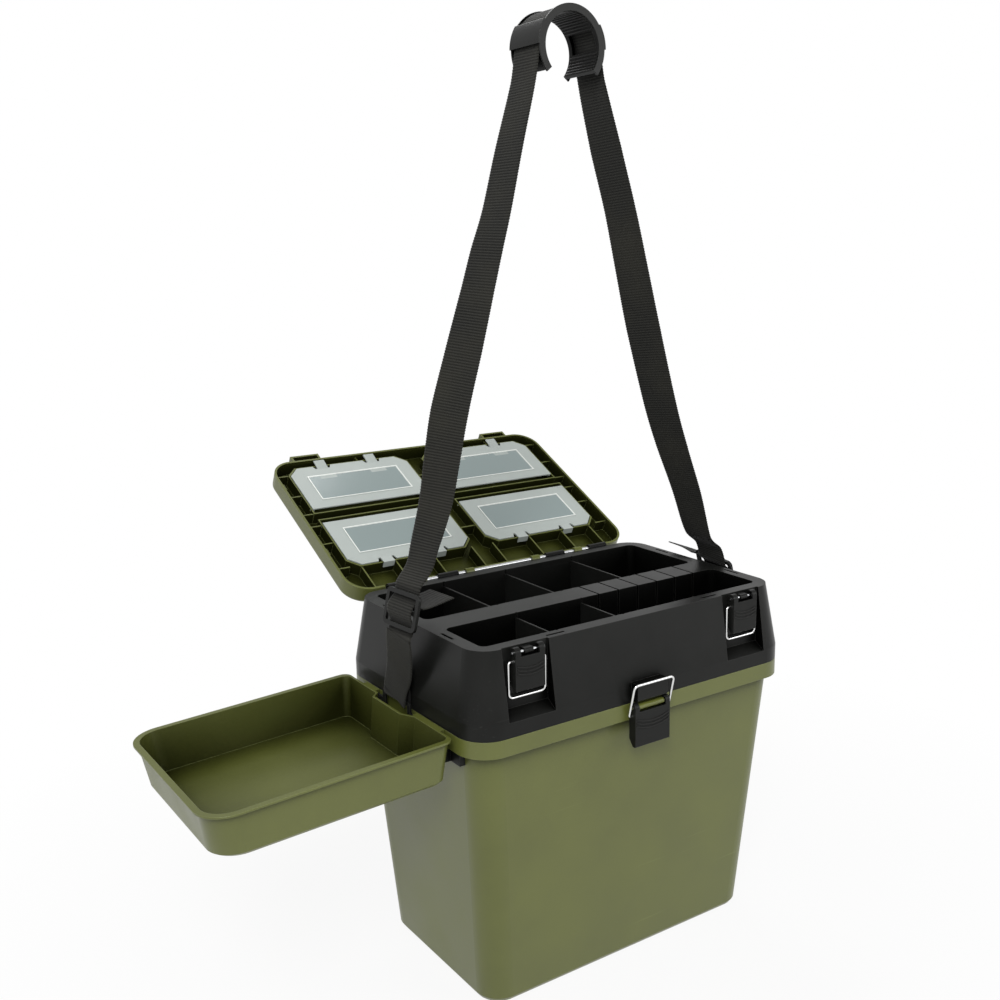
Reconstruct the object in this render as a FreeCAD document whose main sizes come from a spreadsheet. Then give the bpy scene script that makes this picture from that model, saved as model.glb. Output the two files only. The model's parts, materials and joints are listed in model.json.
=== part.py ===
"""Fishing seat box: a tapered bucket, a hinged tray case on top of it, a hinged seat lid with four
clear covers, a lift-off side tray and a shoulder strap with a moulded grip.

Units are millimetres. The row frame has +Z up, -Y to the front and the length along X; the origin
is the middle of the bucket's underside. The lid stands open, as it is used and shown."""
import FreeCAD
import Part
import Sketcher
import math
import os
import re
from FreeCAD import Placement, Rotation, Vector

SIZES = {
    # bucket
    "foot_length": 326, "foot_width": 190, "foot_radius": 25, "foot_round": 4,
    "shoulder_length": 364, "shoulder_width": 227, "shoulder_radius": 26,
    "bucket_height": 260, "bucket_wall": 2.8, "bucket_floor": 3,
    "collar_length": 380, "collar_width": 243, "collar_radius": 30, "collar_height": 16,
    # tray case
    "seat_gap": 0.3, "case_height": 78.5, "case_skirt": 15, "case_wall": 2.5, "case_deck": 3,
    "rim_length": 360, "rim_width": 223, "rim_radius": 24, "rim_land": 14,
    "rim_slot_x": 93, "rim_slot_y": 54, "rim_slot_length": 20, "rim_slot_width": 2.6,
    "rim_slot_front": 6.5, "rim_slot_end": 5.5,
    "plug_depth": 8, "plug_gap": 0.5,
    "row_depth": 60, "row_radius": 7, "spine_front": 34, "spine_width": 32,
    "slot_start": 13.5, "slot_pitch": 25.1, "slot_width": 2, "slot_depth": 26,
    "divider_thick": 1.5, "divider_gap": 0.3, "groove_depth": 1, "divider_drop": 5,
    "divider_left": 86, "divider_mid": 8.5, "divider_right": 80,
    # hinges
    "rod_radius": 2, "running_gap": 0.05,
    "case_pivot_out": 6, "case_pivot_down": 2, "case_knuckle_radius": 5, "case_knuckle_width": 18,
    "case_hinge_x": 110,
    "lid_pivot_y": 116, "lid_pivot_z": 354, "lid_knuckle_radius": 4, "lid_knuckle_width": 24,
    "lid_knuckle_near": 70, "lid_knuckle_far": 130, "lid_arm_width": 10, "lid_arm_near": 43,
    "lid_arm_far": 102, "lid_open": 152.9,
    # lid
    "lid_length": 360, "lid_width": 226, "lid_radius": 26, "lid_height": 19.3, "lid_gap": 0.5,
    "lid_wall": 2.5, "lid_round": 4, "lid_rib": 1.5,
    "cover_in": 12, "cover_length": 149, "cover_width": 74, "cover_front": 101, "cover_rear": 72,
    "cover_thick": 1.5, "cover_inset": 2, "cover_gap": 0.6, "cover_chamfer": 12,
    "cover_pin_radius": 1, "cover_pin_in": 2.5, "cover_pin_up": 3, "frame_inset": 3,
    "ear_half": 1.6, "ear_round": 0.8, "ear_width": 2.4, "stub_spare": 0.3, "stub_root": 0.5,
    "notch_width": 5, "notch_depth": 5,
    "hinge_channel": 6, "tab_width": 13, "tab_offset": 32, "tab_length": 8.5,
    "bead_inset": 17, "bead_width": 1.4, "bead_height": 0.6,
    "clip_width": 10, "clip_out": 3, "keeper_x": 130, "keeper_width": 35, "keeper_out": 11.5,
    "keeper_height": 14,
    "pad_length": 300, "pad_width": 180, "pad_thick": 10, "pad_radius": 20,
    # latches
    "pin_radius": 1.25, "pin_stand": 5.5, "tongue_radius": 2.6, "hollow_high": 3.1,
    "window_low": 3.6, "rib_start": 14, "rib_pitch": 3.2, "rib_thick": 1, "rib_height": 0.5,
    "lever_front": 4, "lever_back": 5, "lever_top": 4.4,
    "lever_skin": 2, "wire_radius": 1.2, "bail_drop": 8.5, "bail_reach": 33, "bail_corner": 4.5,
    "latch_x": 130, "latch_pin_down": 4.5, "latch_width": 31, "latch_reach": 35,
    "latch_window": 20, "latch_tongue": 9, "latch_bail_half": 19.5,
    "recess_width": 50, "recess_back": 109.5, "recess_foot": 56.5, "recess_ledge": 8,
    "clasp_pin_down": 3, "clasp_width": 42, "clasp_reach": 38, "clasp_window": 32,
    "clasp_tongue": 31, "clasp_bail_half": 24, "clasp_bail_lean": 13.5,
    "clasp_keeper_width": 36, "clasp_keeper_out": 9, "clasp_keeper_low": 2.5,
    "clasp_keeper_top": 20,
    # side brackets and tray
    "bracket_half": 90, "bracket_drop": 13, "bracket_lip_out": 3.4, "bracket_lip": 1.8,
    "bracket_lip_half": 75, "ring_y": 8, "ring_width": 52, "ring_top": 8, "ring_thick": 2,
    "ring_bar": 2.2, "ring_round": 3, "ring_slot_round": 2,
    "screw_y": 60, "screw_radius": 2, "screw_head": 3.5, "screw_cap": 1.8,
    "tray_gap": 6, "tray_length": 220, "tray_width": 198, "tray_depth": 42, "tray_wall": 2.2,
    "tray_rim": 1.8, "hook_near": 2.9, "hook_far": 4.6, "tray_taper": 6, "tray_outer_radius": 25,
    "tray_inner_radius": 9, "tray_lip": 3.5,
    "tray_droop": 2.7, "tray_rise": 0.8, "tray_y": 5, "tray_indent": 7, "hook_depth": 14,
    # strap and grip
    "strap_width": 40, "strap_thick": 1.4,
    "grip_x": -6.7, "grip_z": 866, "grip_radius": 33.5, "grip_wall": 3.5, "grip_width": 45,
    "grip_flange": 3, "grip_edge": 1.5, "grip_window": 35,
    "bridge_thick": 2.5, "strap_gap": 0.3,
    "buckle_width": 52, "buckle_height": 34, "buckle_thick": 3, "buckle_bar": 4,
    "buckle_corner": 5,
}

doc = FreeCAD.newDocument("FishingSeatBox")
sheet = doc.addObject("Spreadsheet::Sheet", "Sizes")
for row, (alias, value) in enumerate(SIZES.items(), start=1):
    sheet.set(f"A{row}", alias)
    sheet.set(f"B{row}", str(value))
    sheet.setAlias(f"B{row}", alias)
doc.recompute()

ALIAS = re.compile(r"\b(" + "|".join(sorted(SIZES, key=len, reverse=True)) + r")\b")
PARTS = []

# heights and places that several pieces share, written with the sheet's own names
COLLAR_TOP = "(bucket_height + collar_height)"
CASE_LOW = "(bucket_height + collar_height + seat_gap)"
SKIRT_TOP = "(bucket_height + collar_height + case_skirt)"
RIM = "(bucket_height + collar_height + case_height)"
DECK_LOW = "(bucket_height + collar_height + case_height - case_deck)"
ROW_FLOOR = "(bucket_height + collar_height + case_height - row_depth)"
LID_LOW = "(bucket_height + collar_height + case_height + lid_gap)"
LID_TOP = "(bucket_height + collar_height + case_height + lid_gap + lid_height)"
COVER_LOW = "(bucket_height + collar_height + case_height + lid_gap + cover_inset)"
FRAME_LOW = "(bucket_height + collar_height + case_height + lid_gap + frame_inset)"
COVER_PIN_Z = "(bucket_height + collar_height + case_height + lid_gap + cover_inset + cover_pin_up)"
CASE_PIVOT_Y = "(collar_width / 2 + case_pivot_out)"
CASE_PIVOT_Z = "(bucket_height + collar_height - case_pivot_down)"
ROW_EDGE = "(rim_width / 2 - rim_land)"
ROW_END = "(rim_length / 2 - rim_land)"
LATCH_PIN_Y = "(-recess_back - pin_stand)"
LATCH_PIN_Z = "(bucket_height + collar_height + case_height - latch_pin_down)"
CLASP_PIN_Y = "(-collar_width / 2 - pin_stand)"
CLASP_PIN_Z = "(bucket_height + collar_height - clasp_pin_down)"
LIP_OUT = "(collar_length / 2 + bracket_lip_out)"
TRAY_EDGE = "(collar_length / 2 + tray_gap)"


def size(expression):
    """The value in millimetres of an expression in the sheet's names."""
    value = sheet.evalExpression(expression)
    return float(getattr(value, "Value", value))


def bound(expression):
    return ALIAS.sub(r"Sizes.\1", expression)


def bind(thing, path, expression):
    thing.setExpression(path, bound(expression))


def publish(thing, name):
    """Name a finished sub-part; the label is also its file's name."""
    thing.Label = name
    PARTS.append(thing)
    return thing


def move(thing, x="0", y="0", z="0"):
    bind(thing, ".Placement.Base.x", x)
    bind(thing, ".Placement.Base.y", y)
    bind(thing, ".Placement.Base.z", z)
    return thing


def move_with_lid(thing):
    """Turn a piece that is drawn in the closed lid's place to where the open lid holds it."""
    thing.Placement = Placement(Vector(), Rotation(Vector(-1, 0, 0), size("lid_open")))
    bind(thing, ".Placement.Rotation.Angle", "lid_open * 1deg")
    turn_y = "lid_pivot_y * cos(lid_open * 1deg) + lid_pivot_z * sin(lid_open * 1deg)"
    turn_z = "-lid_pivot_y * sin(lid_open * 1deg) + lid_pivot_z * cos(lid_open * 1deg)"
    return move(thing, "0", f"lid_pivot_y - ({turn_y})", f"lid_pivot_z - ({turn_z})")


def new_body(name):
    return doc.addObject("PartDesign::Body", name.title().replace("_", ""))


def new_sketch(body, name, plane="XY_Plane", offset="0"):
    sketch = body.newObject("Sketcher::SketchObject", name)
    origin = [f for f in body.Origin.OriginFeatures if f.Role == plane][0]
    sketch.AttachmentSupport = [(origin, "")]
    sketch.MapMode = "FlatFace"
    bind(sketch, "AttachmentOffset.Base.z", offset)
    return sketch


def dimension(sketch, kind, *place, expression):
    """A driving dimension whose value follows an expression."""
    index = sketch.addConstraint(Sketcher.Constraint(kind, *place, size(expression)))
    name = f"d{index}"
    sketch.renameConstraint(index, name)
    bind(sketch, f"Constraints.{name}", expression)


def pin_down(sketch, geometry, point, u, v):
    dimension(sketch, "DistanceX", -1, 1, geometry, point, expression=u)
    dimension(sketch, "DistanceY", -1, 1, geometry, point, expression=v)


def draw_outline(sketch, corners, closed=True):
    """Lines through corners (u, v) or (u, v, radius), with a tangent arc at each radius."""
    spots = [Vector(size(c[0]), size(c[1]), 0) for c in corners]
    radii = [size(c[2]) if len(c) > 2 else 0 for c in corners]
    count = len(corners)
    starts, ends, arcs = [], [], []
    for i, spot in enumerate(spots):
        inner = closed or 0 < i < count - 1
        if not radii[i] or not inner:
            starts.append(spot)
            ends.append(spot)
            arcs.append(None)
            continue
        into = (spot - spots[i - 1]).normalize()
        out = (spots[(i + 1) % count] - spot).normalize()
        turn = math.atan2(into.cross(out).z, into.dot(out))
        reach = radii[i] * math.tan(abs(turn) / 2)
        starts.append(spot - into * reach)
        ends.append(spot + out * reach)
        side = math.copysign(1, turn)
        normal = Vector(-into.y, into.x, 0) * side
        centre = starts[i] + normal * radii[i]
        first, last = (starts[i], ends[i]) if side > 0 else (ends[i], starts[i])
        low = math.atan2(first.y - centre.y, first.x - centre.x)
        high = math.atan2(last.y - centre.y, last.x - centre.x)
        circle = Part.Circle(centre, Vector(0, 0, 1), radii[i])
        arcs.append((Part.ArcOfCircle(circle, low, high if high > low else high + 2 * math.pi), side))
    lines = []
    for i in range(count if closed else count - 1):
        lines.append(sketch.addGeometry(Part.LineSegment(ends[i], starts[(i + 1) % count])))
    for i, corner in enumerate(corners):
        if not closed and i in (0, count - 1):
            line, point = (lines[0], 1) if i == 0 else (lines[-1], 2)
            pin_down(sketch, line, point, corner[0], corner[1])
            continue
        before, after = lines[i - 1], lines[i % len(lines)]
        if arcs[i] is None:
            sketch.addConstraint(Sketcher.Constraint("Coincident", before, 2, after, 1))
            pin_down(sketch, after, 1, corner[0], corner[1])
            continue
        arc, side = arcs[i]
        bend = sketch.addGeometry(arc)
        near, far = (1, 2) if side > 0 else (2, 1)
        sketch.addConstraint(Sketcher.Constraint("Tangent", before, 2, bend, near))
        sketch.addConstraint(Sketcher.Constraint("Tangent", bend, far, after, 1))
        mark = sketch.addGeometry(Part.Point(spots[i]))
        sketch.setConstruction(mark, True)
        sketch.addConstraint(Sketcher.Constraint("PointOnObject", mark, 1, before))
        sketch.addConstraint(Sketcher.Constraint("PointOnObject", mark, 1, after))
        dimension(sketch, "Radius", bend, expression=corner[2])
        pin_down(sketch, mark, 1, corner[0], corner[1])


def draw_circle(sketch, u, v, radius):
    circle = Part.Circle(Vector(size(u), size(v), 0), Vector(0, 0, 1), size(radius))
    ring = sketch.addGeometry(circle)
    dimension(sketch, "Radius", ring, expression=radius)
    pin_down(sketch, ring, 3, u, v)


def rectangle(low_u, low_v, high_u, high_v, radius="0"):
    return [(low_u, low_v, radius), (high_u, low_v, radius),
            (high_u, high_v, radius), (low_u, high_v, radius)]


def centred(length, width, radius="0"):
    return rectangle(f"-({length}) / 2", f"-({width}) / 2", f"({length}) / 2", f"({width}) / 2",
                     radius)


def outline_sketch(body, name, loops, plane="XY_Plane", offset="0"):
    """A sketch of closed loops; a loop of three expressions is a circle (u, v, radius)."""
    sketch = new_sketch(body, name, plane, offset)
    for loop in loops:
        if isinstance(loop, tuple):
            draw_circle(sketch, *loop)
        else:
            draw_outline(sketch, loop)
    return sketch


def grow(body, kind, sketch, length, both=False, back=False):
    """A pad or pocket of a sketch; both ways from its plane, or back against its normal."""
    feature = body.newObject(f"PartDesign::{kind}", f"{sketch.Name}{kind}")
    feature.Profile = sketch
    feature.SideType = "Symmetric" if both else "One side"
    feature.Reversed = back
    bind(feature, "Length", length)
    return feature


def pad(body, name, loops, length, plane="XY_Plane", offset="0", both=False, back=False):
    return grow(body, "Pad", outline_sketch(body, name, loops, plane, offset), length, both, back)


def pocket(body, name, loops, length, plane="XY_Plane", offset="0", both=False, back=False):
    return grow(body, "Pocket", outline_sketch(body, name, loops, plane, offset), length, both, back)


def taper(body, kind, name, low, high):
    """A ruled loft between two (outline, height) sections."""
    feature = body.newObject(f"PartDesign::{kind}Loft", name)
    feature.Profile = outline_sketch(body, f"{name}Low", [low[0]], offset=low[1])
    feature.Sections = [outline_sketch(body, f"{name}High", [high[0]], offset=high[1])]
    feature.Ruled = True
    return feature


def fillet(body, name, radius, chosen):
    """Round the edges that the test picks from the body's tip."""
    doc.recompute()
    base = body.Tip
    edges = [f"Edge{i}" for i, e in enumerate(base.Shape.Edges, start=1) if chosen(e.BoundBox)]
    feature = body.newObject("PartDesign::Fillet", name)
    feature.Base = (base, edges)
    bind(feature, "Radius", radius)
    return feature


def rod(name, x, y, z, radius, length):
    """A round rod along X, centred on x."""
    made = doc.addObject("Part::Cylinder", name)
    made.Placement = Placement(Vector(), Rotation(Vector(0, 1, 0), 90))
    bind(made, "Radius", radius)
    bind(made, "Height", length)
    return move(made, f"{x} - ({length}) / 2", y, z)


def fuse(name, pieces):
    made = doc.addObject("Part::MultiFuse", name)
    made.Shapes = pieces
    return made


def knuckle(body, name, x, width, y, z, radius, web):
    """A hinge eye along X and the web that joins it to its wall."""
    pad(body, f"{name}Web", [web], width, "YZ_Plane", x, both=True)
    pad(body, f"{name}Eye", [(y, z, radius)], width, "YZ_Plane", x, both=True)


def bore(body, name, y, z, radius, half):
    pocket(body, name, [(y, z, radius)], f"2 * ({half})", "YZ_Plane", both=True)


def make_bucket():
    """The open bucket with its stepped collar, hinge eyes and latch tongue."""
    body = new_body("bucket")
    foot = centred("foot_length", "foot_width", "foot_radius")
    shoulder = centred("shoulder_length", "shoulder_width", "shoulder_radius")
    sole = centred("foot_length - 1.4 * foot_round", "foot_width - 1.4 * foot_round",
                   "foot_radius - 0.7 * foot_round")
    taper(body, "Additive", "BucketFoot", (sole, "0"), (foot, "foot_round"))
    taper(body, "Additive", "BucketWall", (foot, "foot_round"), (shoulder, "bucket_height"))
    pad(body, "Collar", [centred("collar_length", "collar_width", "collar_radius")],
        "collar_height", offset="bucket_height")
    low = centred("foot_length - 2 * bucket_wall", "foot_width - 2 * bucket_wall",
                  "foot_radius - bucket_wall")
    high = centred("shoulder_length - 2 * bucket_wall", "shoulder_width - 2 * bucket_wall",
                   "shoulder_radius - bucket_wall")
    taper(body, "Subtractive", "BucketInside", (low, "bucket_floor"),
          (high, "bucket_height + bucket_wall + 0.2"))
    pocket(body, "CollarInside",
           [centred("collar_length - 2 * bucket_wall", "collar_width - 2 * bucket_wall",
                    "collar_radius - bucket_wall")],
           "collar_height - bucket_wall", offset=COLLAR_TOP)
    web = [("collar_width / 2 - 1", f"{CASE_PIVOT_Z} - 13"),
           (f"{CASE_PIVOT_Y} + 0.8 * case_knuckle_radius",
            f"{CASE_PIVOT_Z} - 0.6 * case_knuckle_radius"),
           (CASE_PIVOT_Y, f"{CASE_PIVOT_Z} + case_pivot_down"),
           ("collar_width / 2 - 1", f"{CASE_PIVOT_Z} + case_pivot_down")]
    for side in (-1, 1):
        for step in (-1, 1):
            x = f"{side} * case_hinge_x + {step} * (case_knuckle_width + 0.6)"
            tag = f"BucketKnuckle{'LR'[side > 0]}{'AB'[step > 0]}"
            knuckle(body, tag, x, "case_knuckle_width", CASE_PIVOT_Y, CASE_PIVOT_Z,
                    "case_knuckle_radius", web)
    bore(body, "BucketBore", CASE_PIVOT_Y, CASE_PIVOT_Z, "rod_radius + running_gap",
         "case_hinge_x + 2 * case_knuckle_width")
    tongue = rectangle(CLASP_PIN_Y, f"{CLASP_PIN_Z} - tongue_radius", "1 - collar_width / 2",
                       f"{CLASP_PIN_Z} + tongue_radius")
    knuckle(body, "ClaspTongue", "0", "clasp_tongue", CLASP_PIN_Y, CLASP_PIN_Z, "tongue_radius",
            tongue)
    bore(body, "ClaspBore", CLASP_PIN_Y, CLASP_PIN_Z, "pin_radius + running_gap",
         "clasp_tongue")
    screws = [(f"{side} * screw_y", "bucket_height - bracket_drop / 2",
               "screw_radius + running_gap") for side in (-1, 1)]
    pocket(body, "ScrewHoles", screws, "collar_length", "YZ_Plane", both=True)
    publish(body, "bucket")


def make_brackets():
    """The rail under each side of the collar, with the ring that holds the strap."""
    slope = "(shoulder_length - foot_length) / 2 / bucket_height"
    for name, side in (("left", -1), ("right", 1)):
        body = new_body(f"bracket_{name}")
        low = "bucket_height - bracket_drop"
        high = "bucket_height - seat_gap"
        wall_low = f"{side} * (shoulder_length / 2 + 0.1 - {slope} * bracket_drop)"
        wall_high = f"{side} * (shoulder_length / 2 + 0.1)"
        rail = [(wall_low, low), (f"{side} * ({LIP_OUT} + bracket_lip)", low),
                (f"{side} * ({LIP_OUT} + bracket_lip)", high), (wall_high, high)]
        pad(body, "Rail", [rail], "2 * bracket_lip_half", "XZ_Plane", both=True)
        ends = [(wall_low, low), (f"{side} * (collar_length / 2 - 3)", low),
                (f"{side} * (collar_length / 2 - 3)", high), (wall_high, high)]
        pad(body, "RailEnds", [ends], "2 * bracket_half", "XZ_Plane", both=True)
        lip = rectangle(f"{side} * ({LIP_OUT} + bracket_lip)", low, f"{side} * {LIP_OUT}",
                        f"{COLLAR_TOP} - 1.3")
        pad(body, "Lip", [lip], "2 * bracket_lip_half", "XZ_Plane", both=True)
        hoop = rectangle("ring_y - ring_width / 2", low, "ring_y + ring_width / 2",
                         f"{COLLAR_TOP} + ring_top", "ring_round")
        ring_x = f"{side} * ({LIP_OUT} + bracket_lip - ring_thick / 2)"
        pad(body, "Hoop", [hoop], "ring_thick", "YZ_Plane", ring_x, both=True)
        hole = rectangle("ring_y - strap_width / 2 - 1", f"{COLLAR_TOP} - 8",
                         "ring_y + strap_width / 2 + 1", f"{COLLAR_TOP} + ring_top - ring_bar",
                         "ring_slot_round")
        pocket(body, "HoopSlot", [hole], "4 * ring_thick", "YZ_Plane", ring_x, both=True)
        holes = [(f"{end} * screw_y", "bucket_height - bracket_drop / 2",
                  "screw_radius + running_gap") for end in (-1, 1)]
        pocket(body, "RailHoles", holes, "6 * bracket_drop", "YZ_Plane",
               f"{side} * collar_length / 2", both=True)
        publish(body, f"side_bracket_{name}")
    screws = []
    for side in (-1, 1):
        for end in (-1, 1):
            tag = f"{'LR'[side > 0]}{'AB'[end > 0]}"
            face = f"({LIP_OUT} + bracket_lip)"
            stem = f"({face} - shoulder_length / 2 + 2 * bucket_wall + 2)"
            place = (f"{end} * screw_y", "bucket_height - bracket_drop / 2")
            screws.append(rod(f"ScrewStem{tag}", f"{side} * ({face} - {stem} / 2)", *place,
                              "screw_radius", stem))
            screws.append(rod(f"ScrewHead{tag}", f"{side} * ({face} + screw_cap / 2)", *place,
                              "screw_head", "screw_cap"))
    publish(fuse("BracketScrews", screws), "bracket_screws")


def row_spans():
    """The near and far edges of the two rows of compartments."""
    return (("Back", "spine_width - spine_front", ROW_EDGE), ("Front", f"-{ROW_EDGE}",
                                                            "-spine_front"))


def divider_places():
    return (("back_left", "-divider_left", 0), ("back_middle", "-divider_mid", 0),
            ("back_right", "divider_right", 0), ("front_left", "-divider_left", 1),
            ("front_middle", "-divider_mid", 1))


def make_tray_case():
    """The black case: tapered skin, two rows of compartments, latch recesses and hinge eyes."""
    body = new_body("tray_case")
    collar = centred("collar_length", "collar_width", "collar_radius")
    rim = centred("rim_length", "rim_width", "rim_radius")
    pad(body, "CaseSkirt", [collar], "case_skirt - seat_gap", offset=CASE_LOW)
    taper(body, "Additive", "CaseTaper", (collar, SKIRT_TOP), (rim, RIM))
    inner = centred("collar_length - 2 * case_wall", "collar_width - 2 * case_wall",
                    "collar_radius - case_wall")
    pocket(body, "SkirtInside", [inner], "case_skirt - seat_gap", offset=CASE_LOW, back=True)
    inner_rim = centred("rim_length - 2 * case_wall", "rim_width - 2 * case_wall",
                        "rim_radius - case_wall")
    taper(body, "Subtractive", "CaseInside", (inner, SKIRT_TOP), (inner_rim, DECK_LOW))
    plug = "(2 * bucket_wall + 2 * plug_gap)"
    plug_out = centred(f"collar_length - {plug}", f"collar_width - {plug}",
                       "collar_radius - bucket_wall - plug_gap")
    plug_in = centred(f"collar_length - {plug} - 2 * case_wall",
                      f"collar_width - {plug} - 2 * case_wall",
                      "collar_radius - bucket_wall - plug_gap - case_wall")
    step = centred("collar_length - case_wall", "collar_width - case_wall",
                   "collar_radius - case_wall / 2")
    pad(body, "PlugStep", [step, plug_in], "case_deck", offset=CASE_LOW)
    pad(body, "Plug", [plug_out, plug_in], "plug_depth", offset=CASE_LOW, back=True)
    block = rectangle(f"-{ROW_END} - case_wall", f"-{ROW_EDGE} - case_wall",
                      f"{ROW_END} + case_wall", f"{ROW_EDGE} + case_wall",
                      "row_radius + case_wall")
    pad(body, "RowBlock", [block], "row_depth + case_wall - 1", offset=f"{ROW_FLOOR} - case_wall")
    rows = [rectangle(f"-{ROW_END}", low, ROW_END, high, "row_radius")
            for _, low, high in row_spans()]
    pocket(body, "Rows", rows, "row_depth", offset=RIM)
    hollow = rectangle(f"-{ROW_END}", "case_wall - spine_front", "slot_start / 2",
                       "spine_width - spine_front - case_wall")
    pocket(body, "SpineHollow", [hollow], "row_depth + case_wall - case_deck",
           offset=f"{ROW_FLOOR} - case_wall", back=True)
    slots = [rectangle(f"slot_start + {k} * slot_pitch - slot_width / 2", "-spine_front - 1",
                       f"slot_start + {k} * slot_pitch + slot_width / 2",
                       "spine_width - spine_front + 1") for k in range(6)]
    pocket(body, "SpineSlots", slots, "slot_depth", offset=RIM)
    grooves = []
    for _, x, row in divider_places():
        low, high = row_spans()[row][1:]
        grooves.append(rectangle(f"{x} - divider_thick / 2 - divider_gap", f"{low} - groove_depth",
                                 f"{x} + divider_thick / 2 + divider_gap",
                                 f"{high} + groove_depth"))
    pocket(body, "Grooves", grooves, "row_depth - 3", offset=RIM)
    add_latch_recesses(body)
    add_case_hinges(body)
    keeper = [("case_wall / 2 - collar_width / 2", f"{COLLAR_TOP} + clasp_keeper_low"),
              ("-collar_width / 2 - clasp_keeper_out + 2",
               f"{COLLAR_TOP} + clasp_keeper_low"),
              ("-collar_width / 2 - clasp_keeper_out",
               f"{COLLAR_TOP} + clasp_keeper_low + 2"),
              ("-collar_width / 2 - clasp_keeper_out", f"{COLLAR_TOP} + clasp_keeper_top", "1.5"),
              ("case_wall / 2 - collar_width / 2 + 1", f"{COLLAR_TOP} + clasp_keeper_top")]
    pad(body, "ClaspKeeper", [keeper], "clasp_keeper_width", "YZ_Plane", both=True)
    half, across = "rim_slot_length / 2", "rim_slot_width / 2"
    front, end_x = "(rim_slot_front - rim_width / 2)", "(rim_length / 2 - rim_slot_end)"
    slots = [rectangle(f"{side} * rim_slot_x - {half}", f"{front} - {across}",
                       f"{side} * rim_slot_x + {half}", f"{front} + {across}")
             for side in (-1, 1)]
    slots += [rectangle(f"{side} * {end_x} - {across}", f"{end} * rim_slot_y - {half}",
                        f"{side} * {end_x} + {across}", f"{end} * rim_slot_y + {half}")
              for side in (-1, 1) for end in (-1, 1)]
    pocket(body, "RimSlots", slots, "2 * case_deck", offset=RIM)
    publish(body, "tray_case")


def add_latch_recesses(body):
    """A box-shaped housing behind each side latch, the recess in it and the tongue for its pin."""
    slope = "(collar_width - rim_width) / 2 / (case_height - case_skirt)"
    foot = f"({RIM} - recess_foot)"
    skin = f"(collar_width / 2 - 0.4 - {slope} * (recess_ledge + 2))"
    for side in (-1, 1):
        tag = "LR"[side > 0]
        x = f"{side} * latch_x"
        house = [("-recess_back + case_wall", f"{RIM} - 2"), ("0.4 - rim_width / 2", f"{RIM} - 2"),
                 ("0.4 - collar_width / 2", SKIRT_TOP),
                 ("0.4 - collar_width / 2", f"{foot} - recess_ledge - 4"),
                 ("-recess_back + case_wall", f"{foot} - 3")]
        pad(body, f"House{tag}", [house], "recess_width + 2 * case_wall", "YZ_Plane", x, both=True)
        cut = [("-recess_back", f"{RIM} + 1"), ("-recess_back", foot),
               (f"-{skin} - 2", f"{foot} - recess_ledge"), (f"-{skin} - 9", f"{foot} - recess_ledge"),
               (f"-{skin} - 9", f"{RIM} + 1")]
        pocket(body, f"Recess{tag}", [cut], "recess_width", "YZ_Plane", x, both=True)
        tongue = rectangle(LATCH_PIN_Y, f"{LATCH_PIN_Z} - tongue_radius", "1 - recess_back",
                           f"{LATCH_PIN_Z} + tongue_radius")
        knuckle(body, f"Tongue{tag}", x, "latch_tongue", LATCH_PIN_Y, LATCH_PIN_Z,
                "tongue_radius", tongue)
        pocket(body, f"TongueBore{tag}", [(LATCH_PIN_Y, LATCH_PIN_Z, "pin_radius + running_gap")],
               "2 * latch_tongue", "YZ_Plane", x, both=True)


def add_case_hinges(body):
    """Eyes for the rod to the bucket and, at the rim, for the rod that carries the lid."""
    web = [("collar_width / 2 - 1", f"{CASE_LOW} + 1"), (CASE_PIVOT_Y, f"{CASE_LOW} + 1"),
           (f"{CASE_PIVOT_Y} + 0.8 * case_knuckle_radius",
            f"{CASE_PIVOT_Z} + 0.6 * case_knuckle_radius"),
           ("collar_width / 2 - 1", f"{CASE_LOW} + 14")]
    for side in (-1, 1):
        knuckle(body, f"CaseKnuckle{'LR'[side > 0]}", f"{side} * case_hinge_x",
                "case_knuckle_width", CASE_PIVOT_Y, CASE_PIVOT_Z, "case_knuckle_radius", web)
    bore(body, "CaseBore", CASE_PIVOT_Y, CASE_PIVOT_Z, "rod_radius + running_gap",
         "case_hinge_x + case_knuckle_width")
    lean = "(collar_width - rim_width) / 2 / (case_height - case_skirt)"
    top_web = [("lid_pivot_y", "lid_pivot_z"),
               (f"rim_width / 2 - 1 + {lean}", "lid_pivot_z - 0.5"),
               (f"rim_width / 2 - 1 + 12 * {lean}", "lid_pivot_z - 12"),
               ("lid_pivot_y + 0.6 * lid_knuckle_radius", "lid_pivot_z - 0.8 * lid_knuckle_radius")]
    for side in (-1, 1):
        for spot in ("near", "far"):
            knuckle(body, f"LidKnuckle{'LR'[side > 0]}{spot}", f"{side} * lid_knuckle_{spot}",
                    "lid_knuckle_width", "lid_pivot_y", "lid_pivot_z", "lid_knuckle_radius",
                    top_web)
    bore(body, "LidBore", "lid_pivot_y", "lid_pivot_z", "rod_radius + running_gap",
         "lid_knuckle_far + lid_knuckle_width")


def make_dividers():
    """Removable plates that drop into the guide grooves of each row."""
    for name, x, row in divider_places():
        body = new_body(f"divider_{name}")
        low, high = row_spans()[row][1:]
        plate = rectangle(f"{low} - groove_depth + divider_gap", f"{ROW_FLOOR} + 3.3",
                          f"{high} + groove_depth - divider_gap", f"{RIM} - divider_drop", "1")
        pad(body, "Plate", [plate], "divider_thick", "YZ_Plane", x, both=True)
        publish(body, f"divider_{name}")


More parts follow.
